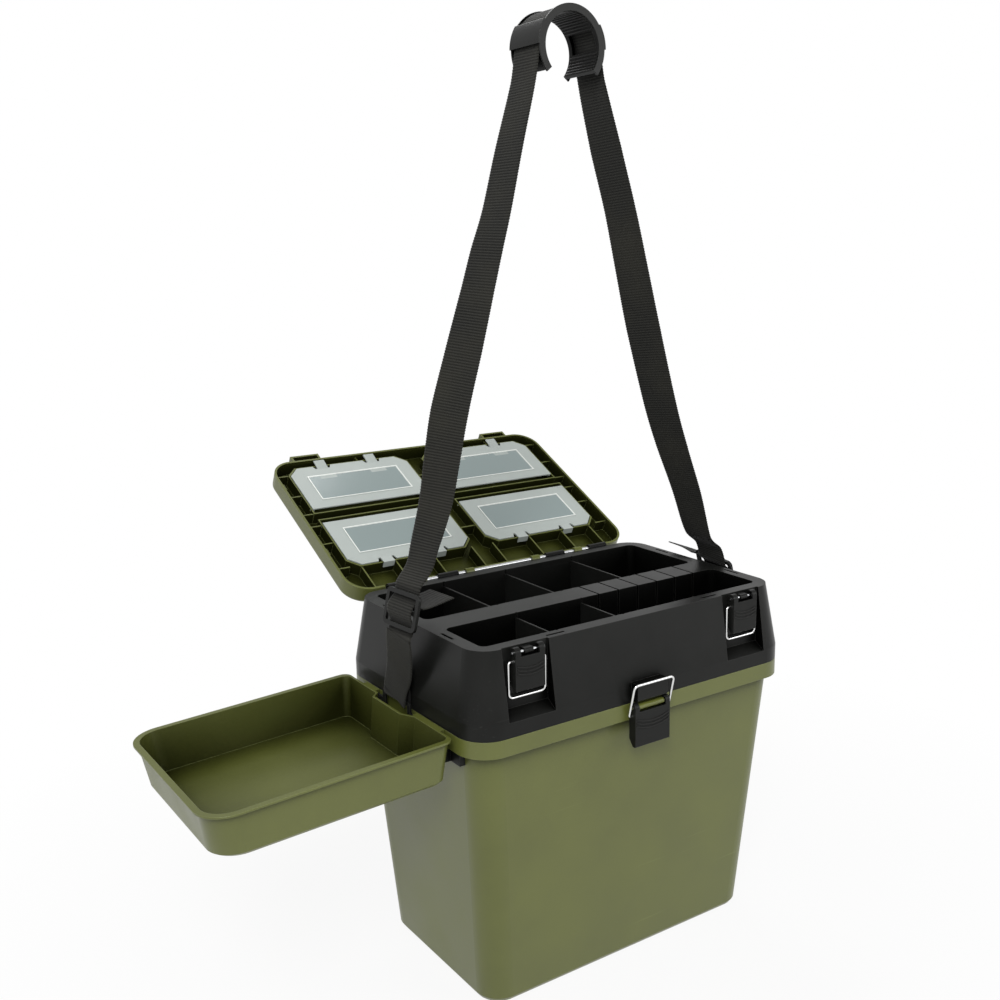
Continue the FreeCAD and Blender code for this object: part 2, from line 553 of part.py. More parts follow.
def cover_outline(side, front, grow_by="0"):
    """A cover's outline in the closed lid, with its far corners cut off."""
    near = f"{side} * (cover_in - {grow_by})"
    far = f"{side} * (cover_in + cover_length + {grow_by})"
    cut = f"{side} * (cover_in + cover_length + {grow_by} - cover_chamfer)"
    near_cut = f"{side} * (cover_in - {grow_by} + cover_chamfer)"
    if front:
        outer, inner, step = f"-cover_front - {grow_by}", "-cover_front + cover_width", 1
    else:
        outer, inner, step = f"cover_rear + {grow_by}", "cover_rear - cover_width", -1
    return near, far, cut, near_cut, outer, inner, step


def cover_loop(side, front, grow_by="0", inner_by="0", wall="0"):
    near, far, cut, near_cut, outer, inner, step = cover_outline(side, front,
                                                                 f"({grow_by} + {wall})")
    shoulder = f"{outer} + {step} * cover_chamfer"
    inner = f"{inner} + {step} * ({inner_by} + {wall})"
    return [(near, inner), (far, inner), (far, shoulder), (cut, outer), (near_cut, outer),
            (near, shoulder)]


# where the lid's short ribs stand, closed: at its ends, its front, its rear and between covers
END_RIBS = ("-92", "-54", "-21", "0", "30", "71")
FRONT_RIBS = ("70", "112")
REAR_RIBS = ("14", "64", "109.5", "150")
MIDDLE_RIBS = ("-62", "40")
CLIPS = ("-72", "44")


def make_lid():
    """The seat lid: a rounded tray of plastic with pocket walls, ribs, keepers and hinge arms."""
    body = new_body("lid_shell")
    pad(body, "LidOuter", [centred("lid_length", "lid_width", "lid_radius")], "lid_height",
        offset=LID_LOW)
    top = size(LID_TOP)
    fillet(body, "LidRound", "lid_round", lambda b: b.ZMin > top - 0.01)
    inner = centred("lid_length - 2 * lid_wall", "lid_width - 2 * lid_wall",
                    "lid_radius - lid_wall")
    pocket(body, "LidInside", [inner], "lid_height - lid_wall", offset=LID_LOW, back=True)
    rise = "lid_height - lid_wall - frame_inset + 1"
    frames = []
    for side in (-1, 1):
        for front in (True, False):
            frames.append(cover_loop(side, front, "cover_gap", "hinge_channel", "lid_rib"))
            frames.append(cover_loop(side, front, "cover_gap", "hinge_channel"))
    pad(body, "PocketWalls", frames, rise, offset=FRAME_LOW)
    wall_x = "(cover_in + cover_length + cover_gap + lid_rib / 2)"
    ribs = []
    for side in (-1, 1):
        for y in END_RIBS:
            low = f"{side} * {wall_x}"
            high = f"{side} * (lid_length / 2 - lid_wall / 2)"
            ribs.append(rectangle(low, f"{y} - lid_rib / 2", high, f"{y} + lid_rib / 2"))
        for x in FRONT_RIBS:
            ribs.append(rectangle(f"{side} * {x} - lid_rib / 2", "1 - lid_width / 2",
                                  f"{side} * {x} + lid_rib / 2",
                                  "-cover_front - cover_gap - lid_rib / 2"))
        for x in REAR_RIBS:
            ribs.append(rectangle(f"{side} * {x} - lid_rib / 2",
                                  "cover_rear + cover_gap + lid_rib / 2",
                                  f"{side} * {x} + lid_rib / 2", "lid_width / 2 - 1"))
    for y in MIDDLE_RIBS:
        ribs.append(rectangle("-cover_in + cover_gap", f"{y} - lid_rib / 2",
                              "cover_in - cover_gap", f"{y} + lid_rib / 2"))
    pad(body, "Ribs", ribs, "lid_height - lid_wall - frame_inset", offset=f"{FRAME_LOW} + 1")
    for row, y in (("Front", "-cover_front + cover_width - cover_pin_in"),
                   ("Rear", "cover_rear - cover_width + cover_pin_in")):
        bore(body, f"CoverBore{row}", y, COVER_PIN_Z, "cover_pin_radius + running_gap",
             "cover_in + cover_length + cover_gap + lid_rib + 0.5")
    add_lid_fittings(body)
    move_with_lid(publish(body, "lid_shell"))


def add_lid_fittings(body):
    """Keepers for the side latches, arms and eyes for the hinge rod, and the clearance notches."""
    for side in (-1, 1):
        low = f"{side} * keeper_x - keeper_width / 2"
        high = f"{side} * keeper_x + keeper_width / 2"
        tag = "LR"[side > 0]
        shell = rectangle(low, "-lid_width / 2 - keeper_out", high, "1 - lid_width / 2")
        pad(body, f"Keeper{tag}", [shell], "keeper_height", offset=f"{LID_LOW} + 2")
        inside = rectangle(f"{low} + lid_wall", "-lid_width / 2 - keeper_out + lid_wall",
                           f"{high} - lid_wall", "-lid_width / 2 - 0.2")
        pocket(body, f"KeeperInside{tag}", [inside], "keeper_height - lid_wall",
               offset=f"{LID_LOW} + 2", back=True)
    web = [("lid_width / 2 - 1.5", "lid_pivot_z + 2"),
           ("lid_width / 2 - 1.5", "lid_pivot_z + 10"),
           ("lid_pivot_y + 0.6 * lid_knuckle_radius", "lid_pivot_z + 0.8 * lid_knuckle_radius"),
           ("lid_pivot_y", "lid_pivot_z")]
    for side in (-1, 1):
        for spot in ("near", "far"):
            knuckle(body, f"LidArm{'LR'[side > 0]}{spot}", f"{side} * lid_arm_{spot}",
                    "lid_arm_width", "lid_pivot_y", "lid_pivot_z", "lid_knuckle_radius", web)
    bore(body, "ArmBore", "lid_pivot_y", "lid_pivot_z", "rod_radius + running_gap",
         "lid_arm_far + lid_arm_width")
    notches = []
    for side in (-1, 1):
        for spot in ("near", "far"):
            half = "(lid_knuckle_width / 2 + 0.6)"
            notches.append(rectangle(f"{side} * lid_knuckle_{spot} - {half}",
                                     "lid_width / 2 - lid_wall - 0.5",
                                     f"{side} * lid_knuckle_{spot} + {half}",
                                     "lid_width / 2 + 1"))
    pocket(body, "HingeNotches", notches, "lid_pivot_z + lid_knuckle_radius - 0.4 - " + LID_LOW,
           offset=LID_LOW, back=True)
    clips = [rectangle("lid_wall / 2 - lid_length / 2", f"{y} - clip_width / 2",
                       "lid_wall - lid_length / 2 + clip_out", f"{y} + clip_width / 2")
             for y in CLIPS]
    pad(body, "SkirtClips", clips, "lid_height - lid_wall - 2", offset=f"{LID_LOW} + 3")


def make_covers():
    """Four clear covers, each on two stub pins, with two snap tabs on the free edge."""
    for side, left in ((-1, "left"), (1, "right")):
        for front, row in ((True, "front"), (False, "rear")):
            body = new_body(f"cover_{row}_{left}")
            pad(body, "Sheet", [cover_loop(side, front)], "cover_thick", offset=COVER_LOW)
            add_cover_bead(body, side, front)
            add_cover_tabs(body, side, front)
            edge = "(cover_width - cover_front)" if front else "(cover_rear - cover_width)"
            y = f"{edge} {'-' if front else '+'} cover_pin_in"
            for end in ("cover_in", "(cover_in + cover_length)"):
                inward = 1 if end == "cover_in" else -1
                tag = "Near" if inward == 1 else "Far"
                ear = rectangle(f"{y} - ear_half", f"{COVER_LOW} + 1", f"{y} + ear_half",
                                f"{COVER_PIN_Z} + ear_half", "ear_round")
                ear_x = f"{side} * ({end} + {inward} * ear_width / 2)"
                pad(body, f"Ear{tag}", [ear], "ear_width", "YZ_Plane", ear_x, both=True)
                reach = "(cover_gap + lid_rib - stub_spare)"
                stub_x = f"{side} * ({end} - {inward} * ({reach} - stub_root) / 2)"
                pad(body, f"Stub{tag}", [(y, COVER_PIN_Z, "cover_pin_radius")],
                    f"{reach} + stub_root", "YZ_Plane", stub_x, both=True)
            move_with_lid(publish(body, f"cover_{row}_{left}"))


def add_cover_bead(body, side, front):
    """The raised window line moulded on the cover."""
    near = f"{side} * (cover_in + bead_inset)"
    far = f"{side} * (cover_in + cover_length - bead_inset)"
    if front:
        outer, inner = "-cover_front + bead_inset", "-cover_front + cover_width - bead_inset + 4"
    else:
        outer, inner = "cover_rear - bead_inset", "cover_rear - cover_width + bead_inset - 4"
    thin = "bead_width"
    step = 1 if front else -1
    frame = [(near, outer), (far, outer), (far, inner), (near, inner)]
    hole = [(f"{near} + {side} * {thin}", f"{outer} + {step} * {thin}"),
            (f"{far} - {side} * {thin}", f"{outer} + {step} * {thin}"),
            (f"{far} - {side} * {thin}", f"{inner} - {step} * {thin}"),
            (f"{near} + {side} * {thin}", f"{inner} - {step} * {thin}")]
    pad(body, "Bead", [frame, hole], "bead_height", offset=COVER_LOW, back=True)


def add_cover_tabs(body, side, front):
    """Notches beside each tab; front tabs stand out unlatched, rear ones fold over the wall."""
    centre = "(cover_in + cover_length / 2)"
    edge = "-cover_front" if front else "cover_rear"
    out = -1 if front else 1
    notches = []
    for spot in (-1, 1):
        for hand in (-1, 1):
            root = f"{side} * ({centre} + {spot} * tab_offset)"
            start = f"{root} + {hand} * tab_width / 2"
            notches.append([(start, f"{edge} + {out} * 1"),
                            (f"{start} + {hand} * notch_width", f"{edge} + {out} * 1"),
                            (f"{start} + {hand} * notch_width / 2",
                             f"{edge} - {out} * notch_depth"),
                            (start, f"{edge} - {out} * notch_depth")])
    pocket(body, "Notches", notches, "4 * cover_thick", offset=COVER_LOW, both=True)
    for spot in (-1, 1):
        x = f"{side} * ({centre} + {spot} * tab_offset)"
        root = f"{edge} - {out} * 6"
        if front:
            tab = [(root, COVER_LOW), (f"{edge} + {out} * tab_length", f"{COVER_LOW} - 1.7"),
                   (f"{edge} + {out} * tab_length", f"{COVER_LOW} - 0.5"),
                   (root, f"{COVER_LOW} + 1.2")]
        else:
            wall = "(cover_gap + lid_rib)"
            tab = [(root, COVER_LOW), (f"{edge} + {wall} + 1.9", f"{COVER_LOW} - 0.8"),
                   (f"{edge} + {wall} + 1.9", f"{COVER_LOW} + 6.5"),
                   (f"{edge} + {wall} + 0.7", f"{COVER_LOW} + 6.5"),
                   (f"{edge} + {wall} + 0.7", f"{COVER_LOW} + 0.3"),
                   (root, f"{COVER_LOW} + 1")]
        pad(body, f"Tab{'AB'[spot > 0]}", [tab], "tab_width", "YZ_Plane", x, both=True)


def make_seat_pad():
    """The foam cushion on the lid's top, which sits face to face on it."""
    body = new_body("seat_pad")
    pad(body, "Foam", [centred("pad_length", "pad_width", "pad_radius")], "pad_thick", offset=LID_TOP)
    top = size(f"{LID_TOP} + pad_thick")
    fillet(body, "FoamRound", "pad_thick / 2", lambda b: b.ZMin > top - 0.01)
    move_with_lid(publish(body, "seat_pad"))


def make_lever(name, x, y, z, width, reach, window):
    """A latch lever: a channel-shaped flap with a window over the tongue at its pin."""
    body = new_body(name)
    front, back = f"({y} - lever_front)", f"({y} + lever_back)"
    low, top = f"({z} - {reach})", f"({z} + lever_top)"
    side_view = [(front, low, "1"), (front, top, "lever_top - 0.1"), (back, top, "lever_top - 0.1"),
                 (back, f"{low} + 7"), (f"{back} - 5", low)]
    pad(body, "Channel", [side_view], width, "YZ_Plane", x, both=True)
    inside = rectangle(f"{front} + lever_skin", f"{low} - 1", f"{back} + 1",
                       f"{z} + hollow_high")
    pocket(body, "Hollow", [inside], f"{width} - 2 * lever_skin", "YZ_Plane", x, both=True)
    gap = rectangle(f"{front} - 1", f"{z} - window_low", f"{back} + 1", f"{top} + 1")
    pocket(body, "Window", [gap], window, "YZ_Plane", x, both=True)
    pocket(body, "PinHole", [(y, z, "pin_radius + running_gap")], f"2 * {width}", "YZ_Plane", x,
           both=True)
    pocket(body, "BailHole", [(f"{y} + 2", f"{z} - bail_drop", "wire_radius + running_gap")],
           f"2 * {width}", "YZ_Plane", x, both=True)
    ribs = new_sketch(body, "Ribs", "XZ_Plane", f"-{front}")
    for step in range(3):
        draw_band(ribs, x, f"{z} - rib_start - {step} * rib_pitch", f"{width} / 2 - 1.5",
                  f"1.2 * {width}", "rib_thick")
    grow(body, "Pad", ribs, "rib_height")
    publish(body, name)


def draw_band(sketch, x, z, spread, radius, thick):
    """A shallow upward-curving band: two arcs about one centre above it."""
    centre = Vector(size(x), size(f"{z} + {radius}"), 0)
    half = math.asin(size(spread) / size(radius))
    rings = []
    for extra in ("0", thick):
        reach = size(f"{radius} + {extra}")
        circle = Part.Circle(centre, Vector(0, 0, 1), reach)
        swing = math.asin(size(spread) / reach)
        arc = Part.ArcOfCircle(circle, -math.pi / 2 - swing, -math.pi / 2 + swing)
        ring = sketch.addGeometry(arc)
        dimension(sketch, "Radius", ring, expression=f"{radius} + {extra}")
        dimension(sketch, "DistanceX", -1, 1, ring, 1, expression=f"{x} - ({spread})")
        dimension(sketch, "DistanceX", -1, 1, ring, 2, expression=f"{x} + {spread}")
        rings.append(ring)
    pin_down(sketch, rings[0], 3, x, f"{z} + {radius}")
    sketch.addConstraint(Sketcher.Constraint("Coincident", rings[0], 3, rings[1], 3))
    drop = size(radius) * math.cos(half)
    for point in (1, 2):
        sign = -1 if point == 1 else 1
        high = Vector(centre.x + sign * size(spread), centre.y - drop, 0)
        reach = size(f"{radius} + {thick}")
        low = Vector(high.x, centre.y - math.sqrt(reach ** 2 - size(spread) ** 2), 0)
        end = sketch.addGeometry(Part.LineSegment(high, low))
        sketch.addConstraint(Sketcher.Constraint("Coincident", end, 1, rings[0], point))
        sketch.addConstraint(Sketcher.Constraint("Coincident", end, 2, rings[1], point))


def make_bail(name, x, y, z, half, tip_in, turn):
    """The wire bail: one bent wire, its ends turned in to the lever's side walls."""
    body = new_body(name)
    route = new_sketch(body, "Route", "XZ_Plane")
    draw_outline(route, [(f"-({tip_in})", "0"), (f"-({half})", "0", "2.4"),
                         (f"-({half})", "-bail_reach", "bail_corner"),
                         (half, "-bail_reach", "bail_corner"), (half, "0", "2.4"), (tip_in, "0")],
                 closed=False)
    wire = outline_sketch(body, "Wire", [("0", "0", "wire_radius")], "YZ_Plane",
                          f"-({tip_in})")
    doc.recompute()
    bent = body.newObject("PartDesign::AdditivePipe", "Bent")
    bent.Profile = wire
    bent.Spine = (route, [f"Edge{i}" for i in range(1, len(route.Shape.Edges) + 1)])
    body.Placement = Placement(Vector(), Rotation(Vector(1, 0, 0), size(turn)))
    bind(body, ".Placement.Rotation.Angle", f"({turn}) * 1deg")
    publish(move(body, x, y, z), name)


def make_latches():
    """Three latches: two from the case up to the lid, one from the bucket up to the case."""
    for name, side in (("left", -1), ("right", 1)):
        x = f"{side} * latch_x"
        make_lever(f"latch_lever_{name}", x, LATCH_PIN_Y, LATCH_PIN_Z, "latch_width",
                   "latch_reach", "latch_window")
        make_bail(f"latch_bail_{name}", x, f"{LATCH_PIN_Y} + 2", f"{LATCH_PIN_Z} - bail_drop",
                  "latch_bail_half", "latch_width / 2 - lever_skin", "0")
        pin = rod(f"LatchPin{name}", x, LATCH_PIN_Y, LATCH_PIN_Z, "pin_radius", "latch_width + 4")
        publish(pin, f"latch_pin_{name}")
    make_lever("latch_lever_centre", "0", CLASP_PIN_Y, CLASP_PIN_Z, "clasp_width", "clasp_reach",
               "clasp_window")
    make_bail("latch_bail_centre", "0", f"{CLASP_PIN_Y} + 2", f"{CLASP_PIN_Z} - bail_drop",
              "clasp_bail_half", "clasp_width / 2 - lever_skin", "180 + clasp_bail_lean")
    pin = rod("ClaspPin", "0", CLASP_PIN_Y, CLASP_PIN_Z, "pin_radius", "clasp_width + 1")
    publish(pin, "latch_pin_centre")


def tray_loop(inset, radius_cut="0"):
    """The side tray's outline about its inner rim edge, with the indent that clears the strap."""
    near, far = f"-({inset})", f"-tray_length + {inset}"
    low, high = f"-tray_width / 2 + {inset}", f"tray_width / 2 - ({inset})"
    deep = f"-tray_indent - ({inset})"
    y = "(ring_y - tray_y)"
    return [(far, low, f"tray_outer_radius - {radius_cut}"),
            (near, low, f"tray_inner_radius - {radius_cut}"),
            (near, f"{y} - strap_width / 2 - 20"), (deep, f"{y} - strap_width / 2 - 4"),
            (deep, f"{y} + strap_width / 2 + 8"), (near, f"{y} + strap_width / 2 + 14"),
            (near, high, f"tray_inner_radius - {radius_cut}"),
            (far, high, f"tray_outer_radius - {radius_cut}")]


def make_side_tray():
    """The bait tray that hooks over the left bracket's lip; it droops a little outwards."""
    body = new_body("side_tray")
    taper(body, "Additive", "TrayFoot", (tray_loop("tray_taper + 2.5"), "-tray_depth"),
          (tray_loop("tray_taper - 0.4"), "3 - tray_depth"))
    taper(body, "Additive", "TrayOuter", (tray_loop("tray_taper - 0.4"), "3 - tray_depth"),
          (tray_loop("0"), "0"))
    lip = tray_loop("(-tray_lip)", "(-tray_lip)")
    lip[1] = ("0", "-tray_width / 2 - tray_lip", "tray_inner_radius")
    lip[2] = ("0", lip[2][1])
    lip[5] = ("0", lip[5][1])
    lip[6] = ("0", "tray_width / 2 + tray_lip", "tray_inner_radius")
    lip[3] = ("-tray_indent", lip[3][1])
    lip[4] = ("-tray_indent", lip[4][1])
    pad(body, "TrayLip", [lip], "tray_rim", back=True)
    taper(body, "Subtractive", "TrayInside",
          (tray_loop("tray_taper - 0.3 + tray_wall", "tray_wall"), "tray_wall - tray_depth"),
          (tray_loop("tray_wall", "tray_wall"), "0"))
    for tag, low, high in (("Front", "-bracket_lip_half - tray_y + 3", "-26 - tray_y"),
                           ("Rear", "48 - tray_y", "bracket_lip_half - tray_y - 3")):
        shelf = rectangle("-1", low, "hook_far", high)
        pad(body, f"Shelf{tag}", [shelf], "tray_rim", back=True)
        hook = rectangle("hook_near", low, "hook_far", high)
        pad(body, f"Hook{tag}", [hook], "hook_depth", back=True)
    body.Placement = Placement(Vector(), Rotation(Vector(0, -1, 0), size("tray_droop")))
    bind(body, ".Placement.Rotation.Angle", "tray_droop * 1deg")
    publish(move(body, f"-{TRAY_EDGE}", "tray_y", f"{COLLAR_TOP} + tray_rise"), "side_tray")


# the grip's angles in degrees: each bridge over its window, and the ends of the open hoop
BRIDGE_LOW, BRIDGE_HIGH = 0, 34
HOOP_END, BRIDGE_SPARE = -39, 1


def make_grip():
    """The shoulder grip: an open hoop with edge flanges; on each side a bridge holds the strap in
    place and the mould leaves a window behind it."""
    body = new_body("shoulder_grip")
    tunnel = "(grip_radius + 2 * strap_gap + strap_thick)"
    over = f"({tunnel} + bridge_thick)"
    far = "(2 * grip_radius)"
    ring("Bridges", body, over, "grip_radius - 1", "grip_width")
    ring("Tunnel", body, tunnel, "grip_radius - 2", "strap_width + 2", cut=True)
    gaps = [wedge(far, BRIDGE_HIGH, 90, 180 - BRIDGE_HIGH), wedge(far, 180 - BRIDGE_LOW, 270,
                                                                  360 + BRIDGE_LOW)]
    pocket(body, "BridgeGaps", gaps, "2 * grip_width", "XZ_Plane", both=True)
    ring("Hoop", body, "grip_radius", "grip_radius - grip_wall", "grip_width")
    low, high = BRIDGE_LOW - BRIDGE_SPARE, BRIDGE_HIGH - BRIDGE_SPARE
    windows = [wedge("1.06 * grip_radius", low, high),
               wedge("1.06 * grip_radius", 180 - high, 180 - low)]
    pocket(body, "Windows", windows, "grip_window", "XZ_Plane", both=True)
    for side in (-1, 1):
        ring(f"Flange{'FB'[side > 0]}", body, "grip_radius + grip_flange",
             "grip_radius - grip_wall", "grip_edge", f"{side} * (grip_width - grip_edge) / 2")
    opening = wedge(far, 180 - HOOP_END, 270, 360 + HOOP_END)
    pocket(body, "Opening", [opening], "2 * grip_width", "XZ_Plane", both=True)
    publish(body, "shoulder_grip")


def ring(name, body, outer, inner, width, offset="0", cut=False):
    circles = [("grip_x", "grip_z", outer), ("grip_x", "grip_z", inner)]
    make = pocket if cut else pad
    return make(body, name, circles, width, "XZ_Plane", offset, both=True)


def wedge(reach, *angles):
    """A wedge from the grip's centre through the given angles in degrees."""
    corners = [("grip_x", "grip_z")]
    for angle in angles:
        slope = math.radians(angle)
        corners.append((f"grip_x + {reach} * {math.cos(slope):.4f}",
                        f"grip_z + {reach} * {math.sin(slope):.4f}"))
    return corners


# the strap's route on each side, bottom to top: x, y, z and the turn of its width in degrees
LEFT_ROUTE = [(-199, -8, 318, 4), (-201.3, -13, 334.8, 5)]
LEFT_BUCKLE = ((-198.6, -16.4, 374.6), (0.26, 0.04, 1), 3.5)
LEFT_RISE = [(-177.5, -13.5, 410.5, 5), (-170, -11.5, 428.5, 9), (-156, -9.5, 466.5, 19),
             (-147, -8, 505, 25), (-137.5, -8, 548, 29), (-120.4, -7, 601, 25),
             (-103.4, -6, 654, 17), (-92.1, -5, 689, 14), (-79.8, -4, 724, 8),
             (-64.3, -2, 777, 5), (-45.5, 0, 838, 0)]
RIGHT_ROUTE = [(199, 1, 312, 0)]
RIGHT_BUCKLE = ((200.5, -5, 343), (-0.35, -0.12, 0.93), 0)
RIGHT_RISE = [(169.5, -8, 386, 0), (152.5, -8, 436, 8), (131, -8, 487, 14), (115, -8, 530, 16),
              (91.5, -8, 608, 18), (77.5, -6, 667, 14), (64, -4, 724, 10), (48, -2, 780, 9),
              (32, 0, 840, 0)]
WEAVE = ((-24, 0.5), (-18.5, 1), (-12, 1), (-3.6, -1), (3.6, -1), (12, 1), (18.5, 1), (23, 1))
TAIL_ROUTE = [(203.5, 20.9, 352.6), (203.2, 32, 355), (202.5, 43, 356.3), (202, 54, 357)]
TAIL_ACROSS = Vector(0.93, 0, -0.36)
GRIP_STEPS = 10


def heading(turn):
    """The direction of the strap's width, turned in degrees from the front."""
    return Vector(math.sin(math.radians(turn)), -math.cos(math.radians(turn)), 0)


def square_to(along, across):
    return (across - along * across.dot(along)).normalize()


def buckle_axes(place):
    """Across, through and along directions of a buckle."""
    along = Vector(*place[1]).normalize()
    across = square_to(along, heading(place[2]))
    return across, along.cross(across), along


def strap_sections(side, route, buckle, rise):
    """Centre and width direction of every section, from the loop on the ring to the grip's top."""
    bar_x = size(f"{LIP_OUT} + bracket_lip - ring_thick / 2")
    bar_z = size(f"{COLLAR_TOP} + ring_top - ring_bar / 2")
    around = size("ring_thick / 1.4142 + strap_gap + strap_thick / 2 + 0.1")
    y = size("ring_y")
    thick = size("strap_thick")
    outer = bar_x + around
    low = [(side * (outer + 0.8 - thick), y - 7.5, bar_z + 20, 0),
           (side * (bar_x - around + 1), y - 3, bar_z + 8, 0),
           (side * (bar_x - around), y - 0.8, bar_z + 2.5, 0)]
    for angle in (180, 225, 270, 315, 360):
        slope = math.radians(angle)
        low.append((side * (bar_x + around * math.cos(slope)), y,
                    bar_z + around * math.sin(slope), 0))
    low += [(side * (outer + 0.1), y - 0.8, bar_z + 2.5, 0),
            (side * (outer + 0.4), y - 3, bar_z + 8, 0),
            (side * (outer + 0.9), y - 7.5, bar_z + 20, 0), *route]
    across, through, along = buckle_axes(buckle)
    clear = size("buckle_thick / 2 + strap_gap + strap_thick / 2")
    weave = [(Vector(*buckle[0]) + along * reach + through * (offset * side * -clear), across)
             for reach, offset in WEAVE]
    high = list(rise)
    lift = size("grip_radius + strap_gap + strap_thick / 2")
    for step in range(GRIP_STEPS + 1):
        angle = math.radians(90 - side * 90 * (1 - step / GRIP_STEPS))
        high.append((size("grip_x") + lift * math.cos(angle), 0,
                     size("grip_z") + lift * math.sin(angle), 0))
    turned = [[(Vector(*place[:3]), heading(place[3])) for place in run] for run in (low, high)]
    return turned[0] + weave + turned[1]


def band(sections):
    """The webbing lofted through sections (spot, direction of its width)."""
    spots = [spot for spot, _ in sections]
    wide, thick = size("strap_width"), size("strap_thick")
    last = len(spots) - 1
    wires = []
    for i, (spot, across) in enumerate(sections):
        before, after = spots[max(i - 1, 0)], spots[min(i + 1, last)]
        run_in = (spot - before).normalize() if i else (after - spot).normalize()
        run_out = (after - spot).normalize() if i < last else run_in
        along = (run_in + run_out).normalize()
        if i == last and abs(spot.x - size("grip_x")) < 0.01:
            along = Vector(math.copysign(1, run_in.x), 0, 0)
        side_on = square_to(along, across)
        up = along.cross(side_on).normalize()
        corners = [spot + side_on * (a * wide / 2) + up * (b * thick / 2)
                   for a, b in ((-1, -1), (1, -1), (1, 1), (-1, 1), (-1, -1))]
        wires.append(Part.makePolygon(corners))
    return Part.makeLoft(wires, True, True)


def make_straps():
    """The webbing: each half runs from its ring through its buckle to the top of the grip."""
    for name, side, route, buckle, rise in (
            ("left", -1, LEFT_ROUTE, LEFT_BUCKLE, LEFT_RISE),
            ("right", 1, RIGHT_ROUTE, RIGHT_BUCKLE, RIGHT_RISE)):
        strap = doc.addObject("Part::Feature", f"Strap{name}")
        strap.Shape = band(strap_sections(side, route, buckle, rise))
        publish(strap, f"strap_{name}")
        make_buckle(name, buckle)
    tail = doc.addObject("Part::Feature", "StrapTail")
    tail.Shape = band([(Vector(*spot), TAIL_ACROSS) for spot in TAIL_ROUTE])
    publish(tail, "strap_tail")


def make_buckle(name, place):
    """A three-bar slide buckle, lying along the strap."""
    body = new_body(f"buckle_{name}")
    frame = centred("buckle_width", "buckle_height", "buckle_corner")
    window = "(buckle_height - 3 * buckle_bar) / 2"
    holes = []
    for side in (-1, 1):
        low = f"{side} * (buckle_bar / 2 + {window} / 2) - {window} / 2"
        holes.append(rectangle("-strap_width / 2 - 1.5", low, "strap_width / 2 + 1.5",
                               f"{low} + {window}", "1.5"))
    pad(body, "Frame", [frame, *holes], "buckle_thick", both=True)
    across, through, along = buckle_axes(place)
    turn = Rotation(across, along, through * -1, "XYZ")
    body.Placement = Placement(Vector(*place[0]), turn)
    publish(body, f"buckle_{name}")


def make_rods():
    publish(rod("CaseHingeRod", "0", CASE_PIVOT_Y, CASE_PIVOT_Z, "rod_radius",
                "2 * case_hinge_x + 3 * case_knuckle_width"), "case_hinge_rod")
    publish(rod("LidHingeRod", "0", "lid_pivot_y", "lid_pivot_z", "rod_radius",
                "2 * lid_knuckle_far + lid_knuckle_width - 2"), "lid_hinge_rod")


make_bucket()
make_brackets()
make_tray_case()
make_dividers()
make_lid()
make_covers()
make_seat_pad()
make_latches()
make_side_tray()
make_grip()
make_straps()
make_rods()
doc.recompute()

for thing in doc.Objects:
    if "Invalid" in thing.State or "Error" in thing.State:
        raise RuntimeError(f"{thing.Label} ({thing.Name}) failed: {thing.State}")
for part in PARTS:
    if part.Shape.isNull() or not part.Shape.isValid() or not part.Shape.Solids:
        raise RuntimeError(f"{part.Label} has no valid solid")

os.makedirs("parts", exist_ok=True)
for part in PARTS:
    part.Shape.exportStep(os.path.join("parts", part.Label + ".step"))
    box = part.Shape.BoundBox
    print(part.Label, len(part.Shape.Solids), round(part.Shape.Volume),
          [round(v, 1) for v in (box.XMin, box.YMin, box.ZMin, box.XMax, box.YMax, box.ZMax)])
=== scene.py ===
"""The looks of the fishing seat box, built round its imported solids: finishes, webbing, the seat
cushion and the fine moulded detail. Lengths are in metres, with +Z up and -Y to the front."""

import json
import math

import bpy
from mathutils import Matrix, Vector


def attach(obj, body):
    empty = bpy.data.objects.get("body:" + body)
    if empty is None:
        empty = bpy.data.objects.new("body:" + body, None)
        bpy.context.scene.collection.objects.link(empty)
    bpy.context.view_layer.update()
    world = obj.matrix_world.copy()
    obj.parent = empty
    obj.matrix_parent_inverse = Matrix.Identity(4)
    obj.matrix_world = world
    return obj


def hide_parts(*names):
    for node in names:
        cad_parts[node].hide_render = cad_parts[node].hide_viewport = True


MM = 0.001

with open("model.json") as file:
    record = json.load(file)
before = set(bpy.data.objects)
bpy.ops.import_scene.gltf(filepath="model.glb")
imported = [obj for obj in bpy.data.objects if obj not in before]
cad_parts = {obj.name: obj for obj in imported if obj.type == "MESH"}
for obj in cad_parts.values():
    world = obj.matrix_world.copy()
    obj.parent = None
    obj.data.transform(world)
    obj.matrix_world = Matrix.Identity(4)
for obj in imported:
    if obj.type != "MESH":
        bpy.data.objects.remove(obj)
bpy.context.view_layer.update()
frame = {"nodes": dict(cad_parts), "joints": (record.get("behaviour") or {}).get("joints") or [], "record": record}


# Node trees and objects

def plug(tree, socket, value):
    """Link a socket to another, or set its own value."""
    if isinstance(value, bpy.types.NodeSocket):
        tree.links.new(value, socket)
    else:
        socket.default_value = value


def add(tree, kind, inputs=None, **settings):
    """A shader node with its settings, and with its inputs by name or number."""
    node = tree.nodes.new(f"ShaderNode{kind}")
    for name, value in settings.items():
        setattr(node, name, value)
    for name, value in (inputs or {}).items():
        plug(tree, node.inputs[name], value)
    return node


def calc(tree, operation, first, second=0.0, clamp=False):
    node = add(tree, "Math", {0: first, 1: second}, operation=operation, use_clamp=clamp)
    return node.outputs[0]


